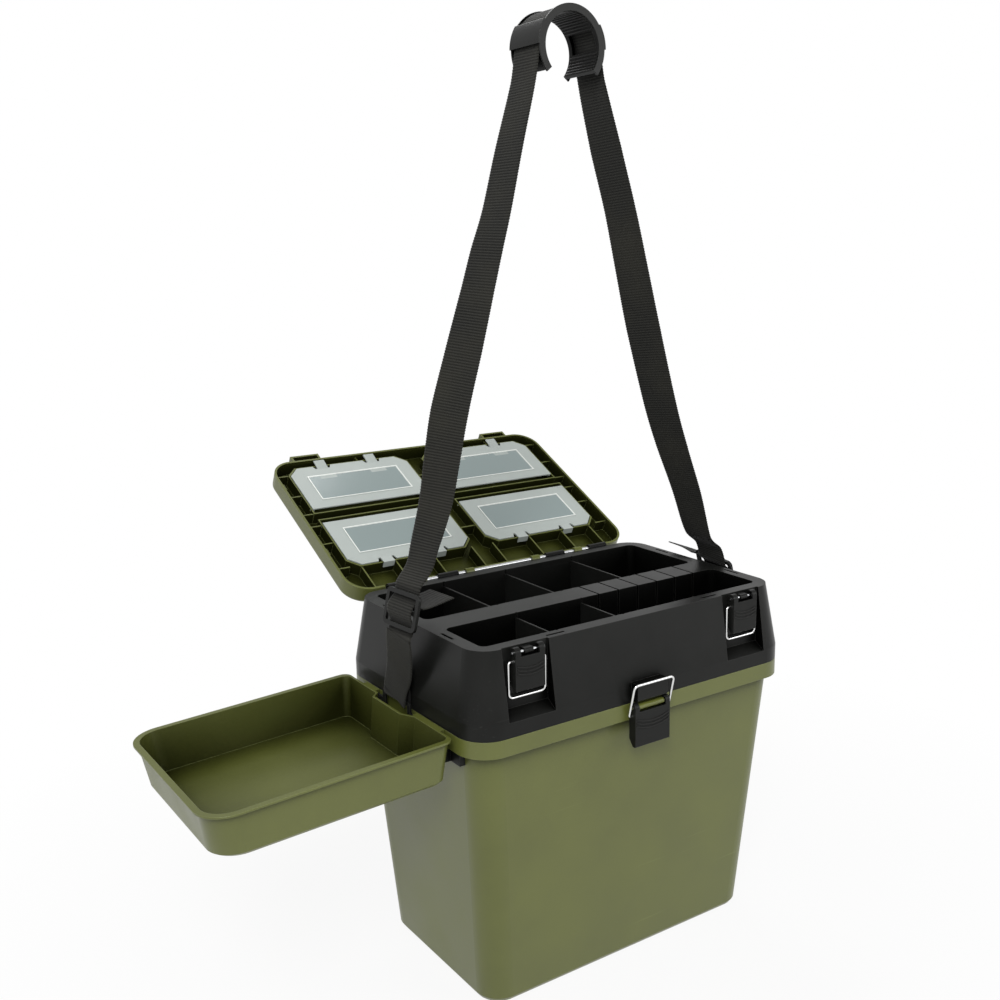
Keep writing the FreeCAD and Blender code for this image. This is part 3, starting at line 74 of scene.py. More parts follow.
def spread(tree, value, low, high, out_low=0.0, out_high=1.0, smooth=False):
    """Map a value from one range to another, held at its ends."""
    node = add(tree, "MapRange", {"Value": value, "From Min": low, "From Max": high,
                                  "To Min": out_low, "To Max": out_high},
               interpolation_type="SMOOTHSTEP" if smooth else "LINEAR")
    return node.outputs["Result"]


def mix(tree, share, first, second):
    """A colour between two; sockets 6, 7 and 2 are the colour ones of the node."""
    node = add(tree, "Mix", {"Factor": share, 6: first, 7: second}, data_type="RGBA")
    return node.outputs[2]


def noise(tree, place, scale, detail=2.0):
    node = add(tree, "TexNoise", {"Vector": place, "Scale": scale, "Detail": detail})
    return node.outputs["Fac"]


def bump(tree, height, strength, depth, normal=None):
    inputs = {"Height": height, "Strength": strength, "Distance": depth}
    if normal is not None:
        inputs["Normal"] = normal
    return add(tree, "Bump", inputs).outputs[0]


def object_place(tree):
    return add(tree, "TexCoord").outputs["Object"]


def rgba(colour, gain=1.0, rise=0.0):
    return (*[part * gain + rise for part in colour], 1)


def cleared(owner):
    """The emptied node tree of a new material or world."""
    owner.use_nodes = True
    owner.node_tree.nodes.clear()
    return owner.node_tree


def new_material(name):
    made = bpy.data.materials.new(name)
    tree = cleared(made)
    skin = add(tree, "BsdfPrincipled")
    tree.links.new(skin.outputs[0], add(tree, "OutputMaterial").inputs[0])
    return made, tree, skin


def new_object(name, data):
    made = bpy.data.objects.new(name, data)
    bpy.context.scene.collection.objects.link(made)
    return made


# Parts of finishes. A scale is in waves a metre, and a depth is how high a relief stands.

EDGE_FACING = 0.995, 0.86       # dot product of flat and rounded normal, from no edge to full
OPEN_SHARE = 0.5, 0.98          # how open a spot is, from full shade to none
SCUFF_TURNS, SCUFF_TILT, SCUFF_STRETCH = (0.5, 2.1), 0.4, (6, 240, 240)
SCUFF_SCALE, SCUFF_FOUND = 1.6, (0.70, 0.78)
PATCH_SCALE, PATCH_FOUND = 9, (0.5, 0.68)


def eased_edges(tree, radius):
    """A normal that rounds small edges, and how far each point lies on such an edge."""
    eased = add(tree, "Bevel", {"Radius": radius}, samples=4).outputs[0]
    flat = add(tree, "NewGeometry").outputs["Normal"]
    facing = add(tree, "VectorMath", {0: eased, 1: flat}, operation="DOT_PRODUCT").outputs["Value"]
    return eased, spread(tree, facing, *EDGE_FACING, smooth=True)


def openness(tree, reach, depth, own_only):
    """1 in the open, down to 1 - depth in corners and recesses, where little light gets in."""
    free = add(tree, "AmbientOcclusion", {"Distance": reach}, samples=6,
               only_local=own_only).outputs["AO"]
    return spread(tree, free, *OPEN_SHARE, 1 - depth, 1)


def shaded(tree, light, tone):
    """A tone darkened where little light gets in."""
    return mix(tree, light, (0, 0, 0, 1), tone)


def scuff_marks(tree, place):
    """Sparse fine scratches: stretched noise in two directions, thresholded."""
    found = None
    for turn in SCUFF_TURNS:
        turned = add(tree, "Mapping", {"Vector": place, "Rotation": (turn, SCUFF_TILT, turn),
                                       "Scale": SCUFF_STRETCH}).outputs[0]
        mark = spread(tree, noise(tree, turned, SCUFF_SCALE, 1), *SCUFF_FOUND)
        found = mark if found is None else calc(tree, "MAXIMUM", found, mark)
    patches = spread(tree, noise(tree, place, PATCH_SCALE), *PATCH_FOUND)
    return calc(tree, "MULTIPLY", found, patches)


def inside(tree, value, half, soft):
    """1 where a value lies within half of zero, 0 outside, with a soft rim."""
    return spread(tree, calc(tree, "ABSOLUTE", value), half + soft, half - soft)


# Moulded plastic

# edges are painted pale up to this share: a painted highlight where light would catch them
PLASTIC_EDGE, EDGE_HIGHLIGHT = 0.7 * MM, 0.55
PLASTIC_SHADE = 100 * MM, 0.88              # how far a recess is felt, and how dark it gets
MOTTLE_SCALE, MOTTLE_GAIN, MOTTLE_RISE = 16, 1.12, 0.002
GRAIN_SCALE, GRAIN_STRENGTH, GRAIN_DEPTH = 1500, 0.35, 0.05 * MM
WAVE_SCALE, WAVE_DEPTH = 11, 0.9 * MM
SCUFF_PALE, SCUFF_ROUGH = 0.22, 0.12
UPWARD_DIMMING = 0.15, 0.75                          # the normal's z where the painted shade on reflections starts and where it is full


def moulded(name, colour, scuff_and_glint, gloss, sheen, top_dimming, waves):
    """Moulded plastic: fine spark grain, slow waves from cooling, mottled gloss, paler edges as a
    painted highlight and darker recesses as painted shade. Faces that look up, and recesses,
    reflect less: painted shade on their reflections."""
    made, tree, skin = new_material(name)
    place = object_place(tree)
    eased, on_edge = eased_edges(tree, PLASTIC_EDGE)
    mottle = noise(tree, place, MOTTLE_SCALE, 4)
    scuffs = scuff_marks(tree, place)
    light = openness(tree, *PLASTIC_SHADE, own_only=True)
    tone = mix(tree, spread(tree, mottle, 0.35, 0.7), rgba(colour),
               rgba(colour, MOTTLE_GAIN, MOTTLE_RISE))
    tone = mix(tree, calc(tree, "MULTIPLY", scuffs, SCUFF_PALE), tone, rgba(scuff_and_glint))
    tone = shaded(tree, light, tone)
    # painted highlight: edges are painted paler, on top of the painted shade
    tone = mix(tree, calc(tree, "MULTIPLY", on_edge, EDGE_HIGHLIGHT), tone, rgba(scuff_and_glint))
    plug(tree, skin.inputs["Base Color"], tone)
    flat = add(tree, "NewGeometry").outputs["Normal"]
    rising = add(tree, "SeparateXYZ", {0: flat}).outputs[2]
    upward_dimmed_sheen = spread(tree, rising, *UPWARD_DIMMING, sheen, sheen * (1 - top_dimming))
    # the socket's own value is for viewers that leave a linked one out
    skin.inputs["Specular IOR Level"].default_value = sheen
    # painted shade: reflection is cut on faces that look up and in recesses
    plug(tree, skin.inputs["Specular IOR Level"], calc(tree, "MULTIPLY", upward_dimmed_sheen, light))
    plug(tree, skin.inputs["Roughness"],
         calc(tree, "ADD", spread(tree, mottle, 0.3, 0.75, gloss - 0.05, gloss + 0.07),
              calc(tree, "MULTIPLY", scuffs, SCUFF_ROUGH)))
    slow = bump(tree, noise(tree, place, WAVE_SCALE, 1), waves, WAVE_DEPTH, eased)
    grain = noise(tree, place, GRAIN_SCALE)
    plug(tree, skin.inputs["Normal"], bump(tree, grain, GRAIN_STRENGTH, GRAIN_DEPTH, slow))
    return made


# Steel

BRUSH_STRETCH = (8, 900, 900)
PLATING_SCALE = 160
STEEL_DARK, STEEL_ROUGHER = 0.82, 0.12
STEEL_BUMP, STEEL_DEPTH = 0.2, 0.03 * MM


def metal(name, colour, gloss, brushed):
    """Plated or drawn steel, with marks along its length when it is brushed."""
    made, tree, skin = new_material(name)
    place = object_place(tree)
    if brushed:
        stretched = add(tree, "Mapping", {"Vector": place, "Scale": BRUSH_STRETCH}).outputs[0]
        lines = noise(tree, stretched, 1.0)
    else:
        lines = noise(tree, place, PLATING_SCALE, 3)
    plug(tree, skin.inputs["Base Color"], mix(tree, lines, rgba(colour), rgba(colour, STEEL_DARK)))
    skin.inputs["Metallic"].default_value = 1.0
    plug(tree, skin.inputs["Roughness"],
         spread(tree, lines, 0.3, 0.7, gloss, gloss + STEEL_ROUGHER))
    plug(tree, skin.inputs["Normal"], bump(tree, lines, STEEL_BUMP, STEEL_DEPTH))
    return made


# The clear covers

JOINTS = {joint["name"]: joint for joint in frame["joints"]}
LID_HINGE = Vector(JOINTS["lid_hinge"]["pos_m"])
LID_OPEN = -math.radians(JOINTS["lid_hinge"]["range_deg"][0])
WINDOW_X, WINDOW_HALF_X, WINDOW_HALF_Y = 86.5 * MM, 57.5 * MM, 22 * MM
BEAD, BEAD_SOFT, WINDOW_SOFT = 1.8 * MM, 0.2 * MM, 0.5 * MM
BLOCK_X, BLOCK_HALF_X, BLOCK_SOFT_X = 32 * MM, 10 * MM, 1.2 * MM
BLOCK_IN, BLOCK_HALF_Y, BLOCK_SOFT_Y = 3 * MM, 4 * MM, 0.6 * MM
BLOCK_SHARE = 0.8
FROST, FROST_GAIN, CLOUD_SCALE = (0.44, 0.485, 0.46), 1.15, 30
CLEAR = (0.27, 0.335, 0.33)
# the colour of the painted highlight on the covers' raised line and edges
GLINT_WHITE = (0.84, 0.87, 0.83)
COVER_EDGE, COVER_EDGE_SHARE = 0.5 * MM, 0.45
FROST_ROUGH, CLEAR_ROUGH = 0.42, 0.16
FROST_SOLID, CLEAR_SOLID = 0.80, 0.84
COVER_WAVE_SCALE, COVER_WAVES, COVER_WAVE_DEPTH = 60, 0.15, 0.3 * MM


def translucent(name, window_y, tab_side):
    """A cover's moulded sheet: milky frosted border, clearer window inside its raised line, and pale
    blocks inside the window by the tabs, where tab_side isn't 0. The raised line and the edges are
    painted pale and solid, a painted highlight. It is laid out in the closed lid's place."""
    made, tree, skin = new_material(name)
    place = object_place(tree)
    hinge = add(tree, "VectorMath", {0: place, 1: LID_HINGE}, operation="SUBTRACT").outputs[0]
    closed = add(tree, "VectorRotate", {"Vector": hinge, "Axis": (1, 0, 0), "Angle": LID_OPEN},
                 rotation_type="AXIS_ANGLE").outputs[0]
    parts = add(tree, "SeparateXYZ", {0: closed}).outputs
    across = calc(tree, "SUBTRACT", calc(tree, "ABSOLUTE", parts[0]), WINDOW_X)
    down = calc(tree, "SUBTRACT", parts[1], window_y - LID_HINGE.y)
    window = calc(tree, "MULTIPLY", inside(tree, across, WINDOW_HALF_X, WINDOW_SOFT),
                  inside(tree, down, WINDOW_HALF_Y, WINDOW_SOFT))
    core = calc(tree, "MULTIPLY", inside(tree, across, WINDOW_HALF_X - BEAD, BEAD_SOFT),
                inside(tree, down, WINDOW_HALF_Y - BEAD, BEAD_SOFT))
    line = calc(tree, "SUBTRACT", window, core, clamp=True)
    if tab_side:
        by_tab = calc(tree, "SUBTRACT", calc(tree, "ABSOLUTE", across), BLOCK_X)
        near = calc(tree, "SUBTRACT", down, tab_side * (WINDOW_HALF_Y - BLOCK_IN))
        block = calc(tree, "MULTIPLY", inside(tree, by_tab, BLOCK_HALF_X, BLOCK_SOFT_X),
                     inside(tree, near, BLOCK_HALF_Y, BLOCK_SOFT_Y))
        window = calc(tree, "SUBTRACT", window, calc(tree, "MULTIPLY", block, BLOCK_SHARE),
                      clamp=True)
    eased, on_edge = eased_edges(tree, COVER_EDGE)
    # painted highlight on the raised line and the edges
    painted_glint = calc(tree, "MAXIMUM", calc(tree, "MULTIPLY", on_edge, COVER_EDGE_SHARE), line)
    frost = mix(tree, noise(tree, place, CLOUD_SCALE, 3), rgba(FROST), rgba(FROST, FROST_GAIN))
    tone = mix(tree, window, frost, rgba(CLEAR))
    plug(tree, skin.inputs["Base Color"], mix(tree, painted_glint, tone, rgba(GLINT_WHITE)))
    plug(tree, skin.inputs["Roughness"], spread(tree, window, 0, 1, FROST_ROUGH, CLEAR_ROUGH))
    solid = spread(tree, window, 0, 1, FROST_SOLID, CLEAR_SOLID)
    plug(tree, skin.inputs["Alpha"], calc(tree, "MAXIMUM", solid, painted_glint))
    waves = noise(tree, place, COVER_WAVE_SCALE)
    plug(tree, skin.inputs["Normal"], bump(tree, waves, COVER_WAVES, COVER_WAVE_DEPTH, eased))
    return made


# Webbing and cloth

RIB_PITCH, YARN = 2.6 * MM, 0.9 * MM
YARN_LEAN, YARN_SHARE = 0.5, 0.35
# the groove colour is painted shade and the crest colour a painted highlight; the dust colour is for patches of
# dust
GROOVE_SHADE, CREST_HIGHLIGHT, DUST = (0.004, 0.004, 0.0036), (0.032, 0.032, 0.028), (0.040, 0.038, 0.028)
DUST_SCALE, DUST_SHARE, FUZZ_SCALE = 18, 0.35, 900
WEBBING_SHADE = 14 * MM, 0.6
WEBBING_ROUGH = 0.62, 0.82
YARN_HIGH, YARN_BUMP, FINE_DEPTH = 0.6, 0.5, 0.12 * MM
CELL_SCALE, CREASE_SCALE, CREASE_BUMP, CREASE_DEPTH = 900, 40, 0.25, 0.6 * MM
CLOTH_DARK, CLOTH_LIGHT, CLOTH_ROUGH = (0.010, 0.010, 0.010), (0.020, 0.020, 0.019), (0.5, 0.66)


def woven(name):
    """Black polypropylene webbing: cross ribs with fine yarns on them, a painted highlight on the
    crests, painted shade in the grooves and by nearby parts, and patches of dust.
    """
    made, tree, skin = new_material(name)
    spot = add(tree, "UVMap", uv_map="weave").outputs[0]
    parts = add(tree, "SeparateXYZ", {0: spot}).outputs
    rib = calc(tree, "SINE", calc(tree, "MULTIPLY", parts[1], 2 * math.pi / RIB_PITCH))
    lean = calc(tree, "ADD", parts[0], calc(tree, "MULTIPLY", parts[1], YARN_LEAN))
    yarn = calc(tree, "SINE", calc(tree, "MULTIPLY", lean, 2 * math.pi / YARN))
    place = object_place(tree)
    fuzz = noise(tree, place, FUZZ_SCALE, 3)
    patch = spread(tree, noise(tree, place, DUST_SCALE, 3), 0.45, 0.75)
    crest = calc(tree, "ADD", rib, calc(tree, "MULTIPLY", yarn, YARN_SHARE))
    # crests painted lighter and grooves darker: painted highlight and painted shade
    tone = mix(tree, spread(tree, crest, -1.2, 1.2), rgba(GROOVE_SHADE), rgba(CREST_HIGHLIGHT))
    tone = mix(tree, calc(tree, "MULTIPLY", patch, DUST_SHARE), tone, rgba(DUST))
    light = openness(tree, *WEBBING_SHADE, own_only=False)
    plug(tree, skin.inputs["Base Color"], shaded(tree, light, tone))
    plug(tree, skin.inputs["Roughness"], spread(tree, fuzz, 0.3, 0.7, *WEBBING_ROUGH))
    skin.inputs["Specular IOR Level"].default_value = 0.12
    skin.inputs["Sheen Weight"].default_value = 0.06
    skin.inputs["Sheen Roughness"].default_value = 0.5
    height = calc(tree, "ADD", calc(tree, "MULTIPLY", yarn, YARN_HIGH), fuzz)
    plug(tree, skin.inputs["Normal"], bump(tree, height, YARN_BUMP, FINE_DEPTH))
    return made


def foam_skin(name):
    """The cushion's coated cloth: a tight grain with soft creases."""
    made, tree, skin = new_material(name)
    place = object_place(tree)
    cells = add(tree, "TexVoronoi", {"Vector": place, "Scale": CELL_SCALE}).outputs["Distance"]
    soft = noise(tree, place, CREASE_SCALE, 3)
    plug(tree, skin.inputs["Base Color"], mix(tree, soft, rgba(CLOTH_DARK), rgba(CLOTH_LIGHT)))
    plug(tree, skin.inputs["Roughness"], spread(tree, soft, 0.3, 0.7, *CLOTH_ROUGH))
    slow = bump(tree, soft, CREASE_BUMP, CREASE_DEPTH)
    plug(tree, skin.inputs["Normal"], bump(tree, cells, YARN_BUMP, FINE_DEPTH, slow))
    return made


# Finishes of the record's slots

# the paler colours serve for scuffs and for the painted highlight on edges
GREEN, GREEN_SCUFF_AND_GLINT = (0.100, 0.112, 0.022), (0.27, 0.30, 0.12)
BLACK, BLACK_SCUFF_AND_GLINT = (0.0080, 0.0083, 0.0075), (0.05, 0.05, 0.047)

MATERIALS = {
    "green_plastic": moulded("olive_moulding", GREEN, GREEN_SCUFF_AND_GLINT, gloss=0.36, sheen=0.55,
                             top_dimming=0.75, waves=0.5),
    "black_plastic": moulded("black_moulding", BLACK, BLACK_SCUFF_AND_GLINT, gloss=0.34, sheen=0.155,
                             top_dimming=0.35, waves=0.8),
    "steel": metal("drawn_steel", (0.55, 0.56, 0.57), gloss=0.2, brushed=True),
    "steel_wire": metal("plated_wire", (0.78, 0.78, 0.77), gloss=0.07, brushed=False),
    "webbing": woven("webbing_weave"),
    "foam": foam_skin("cushion_cloth"),
}
COVER_FRONT = translucent("cover_front_sheet", window_y=-62 * MM, tab_side=-1)
COVER_REAR = translucent("cover_rear_sheet", window_y=33 * MM, tab_side=0)


def finish_solids():
    """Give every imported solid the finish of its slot."""
    for part in frame["record"]["subparts"]:
        node, slot = part["node"], part["material_slot"]
        if slot == "clear_plastic":
            shown = COVER_FRONT if "front" in node else COVER_REAR
        else:
            shown = MATERIALS[slot]
        mesh = frame["nodes"][node].data
        mesh.materials.clear()
        mesh.materials.append(shown)


def new_piece(name, verts, faces, slot, body, smooth=True):
    mesh = bpy.data.meshes.new(name)
    mesh.from_pydata(verts, [], faces)
    mesh.validate()
    made = new_object(name, mesh)
    for face in mesh.polygons:
        face.use_smooth = smooth
    mesh.materials.append(MATERIALS[slot])
    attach(made, body)
    return made


# The webbing's routes, bottom to top

STRAP_WIDE, STRAP_THICK, STRAP_GAP = 40 * MM, 1.4 * MM, 0.3 * MM
RING_Y, RING_BAR_X, RING_BAR_Z, RING_BAR_THICK = 8 * MM, 194.2 * MM, 282.9 * MM, 2 * MM
BUCKLE_THICK = 3 * MM
GRIP_CENTRE, GRIP_RADIUS, GRIP_WALL = Vector((-6.7, 0, 866)) * MM, 33.5 * MM, 3.5 * MM

# how far forward of the ring's bar and above it the three sections of a leg lie, in millimetres
LEG_RISE = ((0.8, 2.5), (3, 8), (7.5, 20))
LOOP_CLEAR, LOOP_STEPS, GRIP_STEPS = 0.1 * MM, 4, 10

# a route's section is x, y and z in millimetres and the turn of the webbing's width in degrees;
# a buckle has its centre, the direction through it and that turn
LEFT_ROUTE = [(-199, -8, 318, 4), (-201.3, -13, 334.8, 5)]
LEFT_BUCKLE = ((-198.6, -16.4, 374.6), (0.26, 0.04, 1), 3.5)
LEFT_RISE = [(-177.5, -13.5, 410.5, 5), (-170, -11.5, 428.5, 9), (-156, -9.5, 466.5, 19),
             (-147, -8, 505, 25), (-137.5, -8, 548, 29), (-120.4, -7, 601, 25),
             (-103.4, -6, 654, 17), (-92.1, -5, 689, 14), (-79.8, -4, 724, 8),
             (-64.3, -2, 777, 5), (-45.5, 0, 838, 0)]
RIGHT_ROUTE = [(199, 1, 312, 0)]
RIGHT_BUCKLE = ((200.5, -5, 343), (-0.35, -0.12, 0.93), 0)
RIGHT_RISE = [(185.1, -8, 373.1, 0), (170.3, -8, 386.6, 0), (152.5, -8, 436, 8),
              (131, -8, 487, 14), (115, -8, 530, 16), (91.5, -8, 608, 18), (77.5, -6, 667, 14),
              (64, -4, 724, 10), (48, -2, 780, 9), (32, 0, 840, 0)]
# along a buckle in millimetres, and before its bars (1) or behind them (-1)
WEAVE = ((-24, 0.5), (-18.5, 1), (-12, 1), (-3.6, -1), (3.6, -1), (12, 1), (18.5, 1), (23, 1))
TAIL_ROUTE = [(203.5, 20.9, 352.6), (203.2, 32, 355), (202.5, 43, 356.3), (202, 54, 357)]
TAIL_ACROSS = Vector((0.93, 0, -0.36))
SPARE_ROUTE = [(-191, -15, 376.5), (-178, -12, 376), (-165, -10, 377), (-152, -9, 379)]


def heading(turn):
    """The direction of the webbing's width, turned in degrees from the front."""
    return Vector((math.sin(math.radians(turn)), -math.cos(math.radians(turn)), 0))


def square_to(along, across):
    return (across - along * across.dot(along)).normalized()


def half_strap(side, route, buckle, rise):
    """Spot and width direction of every section, from the ring's loop to the top of the grip."""
    around = RING_BAR_THICK / math.sqrt(2) + STRAP_GAP + STRAP_THICK / 2 + LOOP_CLEAR
    inner, outer = RING_BAR_X - around, RING_BAR_X + around

    def at(x, y, z):
        return Vector((side * x, y, z)), heading(0)

    def leg(*places):
        return [at(x, RING_Y - fore * MM, RING_BAR_Z + up * MM)
                for x, (fore, up) in zip(places, LEG_RISE)]

    found = leg(inner, inner + 1 * MM, outer + 0.8 * MM - STRAP_THICK)[::-1]
    for step in range(LOOP_STEPS + 1):
        slope = math.pi * (1 + step / LOOP_STEPS)
        found.append(at(RING_BAR_X + around * math.cos(slope), RING_Y,
                        RING_BAR_Z + around * math.sin(slope)))
    found += leg(outer + 0.1 * MM, outer + 0.4 * MM, outer + 0.9 * MM)
    found += [(Vector(place[:3]) * MM, heading(place[3])) for place in route]
    along = Vector(buckle[1]).normalized()
    across = square_to(along, heading(buckle[2]))
    through = along.cross(across)
    clear = BUCKLE_THICK / 2 + STRAP_GAP + STRAP_THICK / 2
    for reach, offset in WEAVE:
        spot = Vector(buckle[0]) * MM + along * reach * MM - through * (offset * side * clear)
        found.append((spot, across))
    found += [(Vector(place[:3]) * MM, heading(place[3])) for place in rise]
    lift = GRIP_RADIUS + STRAP_GAP + STRAP_THICK / 2
    for step in range(GRIP_STEPS + 1):
        angle = math.radians(90 - side * 90 * (1 - step / GRIP_STEPS))
        found.append((GRIP_CENTRE + Vector((math.cos(angle), 0, math.sin(angle))) * lift,
                      heading(0)))
    return found


# The webbing's band

PULL_LIMIT = 1.5
COLUMNS, ROWS_A_RIB = 22, 4
RIB_HIGH, SCALLOP = 0.28 * MM, 0.25 * MM
WAVER, WAVER_WIDE = 0.5, 1.6 * MM       # how far a rib wanders, as an angle, and over what width
SELVEDGE_THIN = 0.35


def curve_point(a, b, c, d, t):
    """A point between b and c of the smooth curve through a, b, c and d."""
    return 0.5 * (2 * b + (c - a) * t + (2 * a - 5 * b + 4 * c - d) * t ** 2
                  + (3 * b - a - 3 * c + d) * t ** 3)


def smooth_curve(sections, pitch):
    """Closely set spots and width directions of the smooth curve through the sections."""
    spots = [spot for spot, _ in sections]
    widths = [across for _, across in sections]
    found = []
    last = len(spots) - 1
    for i in range(last):
        run = max((spots[i + 1] - spots[i]).length, 1e-6)
        reach = [spots[p].copy() for p in (max(i - 1, 0), i, i + 1, min(i + 2, last))]
        # a long neighbour would throw a short run's curve wide, so its pull is held back
        for far, near in ((0, 1), (3, 2)):
            pull = reach[far] - reach[near]
            if pull.length > PULL_LIMIT * run:
                reach[far] = reach[near] + pull.normalized() * PULL_LIMIT * run
        steps = max(2, int(run / (pitch / 2)))
        for k in range(steps):
            t = k / steps
            found.append((curve_point(*reach, t), widths[i].lerp(widths[i + 1], t)))
    found.append((spots[-1], widths[-1]))
    return found


def evenly(curve, pitch):
    """Spot, width direction and travel at an even pitch along a curve."""
    travelled = [0.0]
    for before, after in zip(curve, curve[1:]):
        travelled.append(travelled[-1] + (after[0] - before[0]).length)
    count = int(travelled[-1] / pitch)
    found, k = [], 0
    for step in range(count + 1):
        goal = travelled[-1] * step / count
        while k < len(curve) - 2 and travelled[k + 1] < goal:
            k += 1
        share = (goal - travelled[k]) / max(travelled[k + 1] - travelled[k], 1e-9)
        found.append((curve[k][0].lerp(curve[k + 1][0], share),
                      curve[k][1].lerp(curve[k + 1][1], share), goal))
    return found


def webbing(name, sections, *nodes):
    """A woven band with ribs across it and scalloped selvedges."""
    pitch = RIB_PITCH / ROWS_A_RIB
    rows = evenly(smooth_curve(sections, pitch), pitch)
    verts, faces, places = [], [], []
    around = 2 * (COLUMNS + 1)
    last = len(rows) - 1
    for i, (spot, across, travel) in enumerate(rows):
        along = (rows[min(i + 1, last)][0] - rows[max(i - 1, 0)][0]).normalized()
        side_on = square_to(along, across)
        up = along.cross(side_on)
        turn = 2 * math.pi * travel / RIB_PITCH
        half = STRAP_WIDE / 2 - SCALLOP * (1 - math.cos(turn))
        for face_sign in (1, -1):
            for column in range(COLUMNS + 1):
                share = 2 * column / COLUMNS - 1
                u = share * half * face_sign
                phase = turn + WAVER * math.sin(u / WAVER_WIDE)
                rib = RIB_HIGH * (0.5 + 0.5 * math.cos(phase * face_sign))
                thin = 1 if abs(share) < 1 else SELVEDGE_THIN
                lift = face_sign * thin * (STRAP_THICK / 2 - RIB_HIGH + rib)
                verts.append(spot + side_on * u + up * lift)
                places.append((u + face_sign * STRAP_WIDE, travel))
    for i in range(last):
        for k in range(around):
            low, next_low = i * around + k, i * around + (k + 1) % around
            faces.append((low, next_low, next_low + around, low + around))
    faces.append(tuple(reversed(range(around))))
    faces.append(tuple(range(last * around, (last + 1) * around)))
    made = new_piece(name, verts, faces, "webbing", "box")
    layer = made.data.uv_layers.new(name="weave")
    for loop in made.data.loops:
        layer.data[loop.index].uv = places[loop.vertex_index]
    if nodes:
        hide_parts(*nodes)


def make_webbing():
    left = half_strap(-1, LEFT_ROUTE, LEFT_BUCKLE, LEFT_RISE)
    right = half_strap(1, RIGHT_ROUTE, RIGHT_BUCKLE, RIGHT_RISE)
    webbing("shoulder_strap", left + right[-2::-1], "strap_left", "strap_right")
    webbing("strap_loose_end", [(Vector(spot) * MM, TAIL_ACROSS) for spot in TAIL_ROUTE],
            "strap_tail")
    webbing("strap_spare_end", [(Vector(spot) * MM, heading(0)) for spot in SPARE_ROUTE])


# The seat cushion

LID_TURN = (Matrix.Translation(LID_HINGE) @ Matrix.Rotation(LID_OPEN, 4, "X").inverted()
            @ Matrix.Translation(-LID_HINGE))
CELLS_X, CELLS_Y = 96, 60
PULL_X, PULL_Y = 0.02, 0.03             # how far the sides draw in between the corners
PAD_CORNER = 18 * MM
RIM_X, RIM_Y = 10, 8                    # how squarely the crown drops towards each rim
RIM_HIGH, SIDE_HIGH = 0.25, 0.62        # height at the rim, and of the crown by the long sides
CHANNELS, CHANNEL_WIDE, CHANNEL_DEEP = (-0.5, 0, 0.5), 2.2 * MM, 2.6 * MM


def closed_box(node):
    """The corners of a lid node when the lid is shut."""
    back = LID_TURN.inverted()
    spots = [back @ v.co for v in frame["nodes"][node].data.vertices]
    return (Vector([min(s[k] for s in spots) for k in range(3)]),
            Vector([max(s[k] for s in spots) for k in range(3)]))


def make_cushion():
    """The lid's cushion: a crowned pad with drawn-in sides and sewn channels, sinking to a low rim."""
    low, high = closed_box("seat_pad")
    middle, half = (low + high) / 2, (high - low) / 2
    straight_x, straight_y = half.x - PAD_CORNER, half.y - PAD_CORNER
    verts, faces = [], []

    def spot(share_x, share_y, top):
        x = share_x * half.x * (1 - PULL_X * (1 - share_y ** 2))
        y = share_y * half.y * (1 - PULL_Y * (1 - share_x ** 2))
        over = Vector((max(abs(x) - straight_x, 0), max(abs(y) - straight_y, 0)))
        if over.length > PAD_CORNER:
            over *= PAD_CORNER / over.length
            x = math.copysign(straight_x + over.x, x)
            y = math.copysign(straight_y + over.y, y)
        z = low.z
        if top:
            rim = max(abs(share_x) ** RIM_X, abs(share_y) ** RIM_Y)
            crown = math.sqrt(max(0.0, 1 - rim))
            channel = sum(math.exp(-((x - c * half.x) / CHANNEL_WIDE) ** 2) for c in CHANNELS)
            swell = SIDE_HIGH + (1 - SIDE_HIGH) * math.cos(share_y * math.pi / 2)
            z += (high.z - low.z) * (RIM_HIGH + (1 - RIM_HIGH) * crown * swell)
            z -= channel * crown * CHANNEL_DEEP
        return LID_TURN @ Vector((middle.x + x, middle.y + y, z))

    row = CELLS_X + 1
    for top in (False, True):
        for j in range(CELLS_Y + 1):
            for i in range(row):
                verts.append(spot(2 * i / CELLS_X - 1, 2 * j / CELLS_Y - 1, top))
    layer = row * (CELLS_Y + 1)
    for j in range(CELLS_Y):
        for i in range(CELLS_X):
            a = j * row + i
            faces.append((a, a + row, a + row + 1, a + 1))
            b = a + layer
            faces.append((b, b + 1, b + row + 1, b + row))
    rim_loop = ([i for i in range(row)] + [j * row + CELLS_X for j in range(1, CELLS_Y + 1)]
                + [CELLS_Y * row + i for i in range(CELLS_X - 1, -1, -1)]
                + [j * row for j in range(CELLS_Y - 1, 0, -1)])
    for a, b in zip(rim_loop, rim_loop[1:] + rim_loop[:1]):
        faces.append((a, b, b + layer, a + layer))
    cushion = new_piece("seat_cushion", verts, faces, "foam", "lid")
    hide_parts("seat_pad")


# The grip's ribs, on the stretches of its inner wall between its ends and its two windows

RIBBED, GRIP_RIB_PITCH = ((-36, -6), (37, 143), (185, 215)), 6      # in degrees
RIB_HALF_WIDE, GRIP_RIB_HIGH, RIB_HALF_LONG = 1.05 * MM, 0.85 * MM, 20.6 * MM
RIB_SUNK, RIB_POINTS = 0.1 * MM, 5


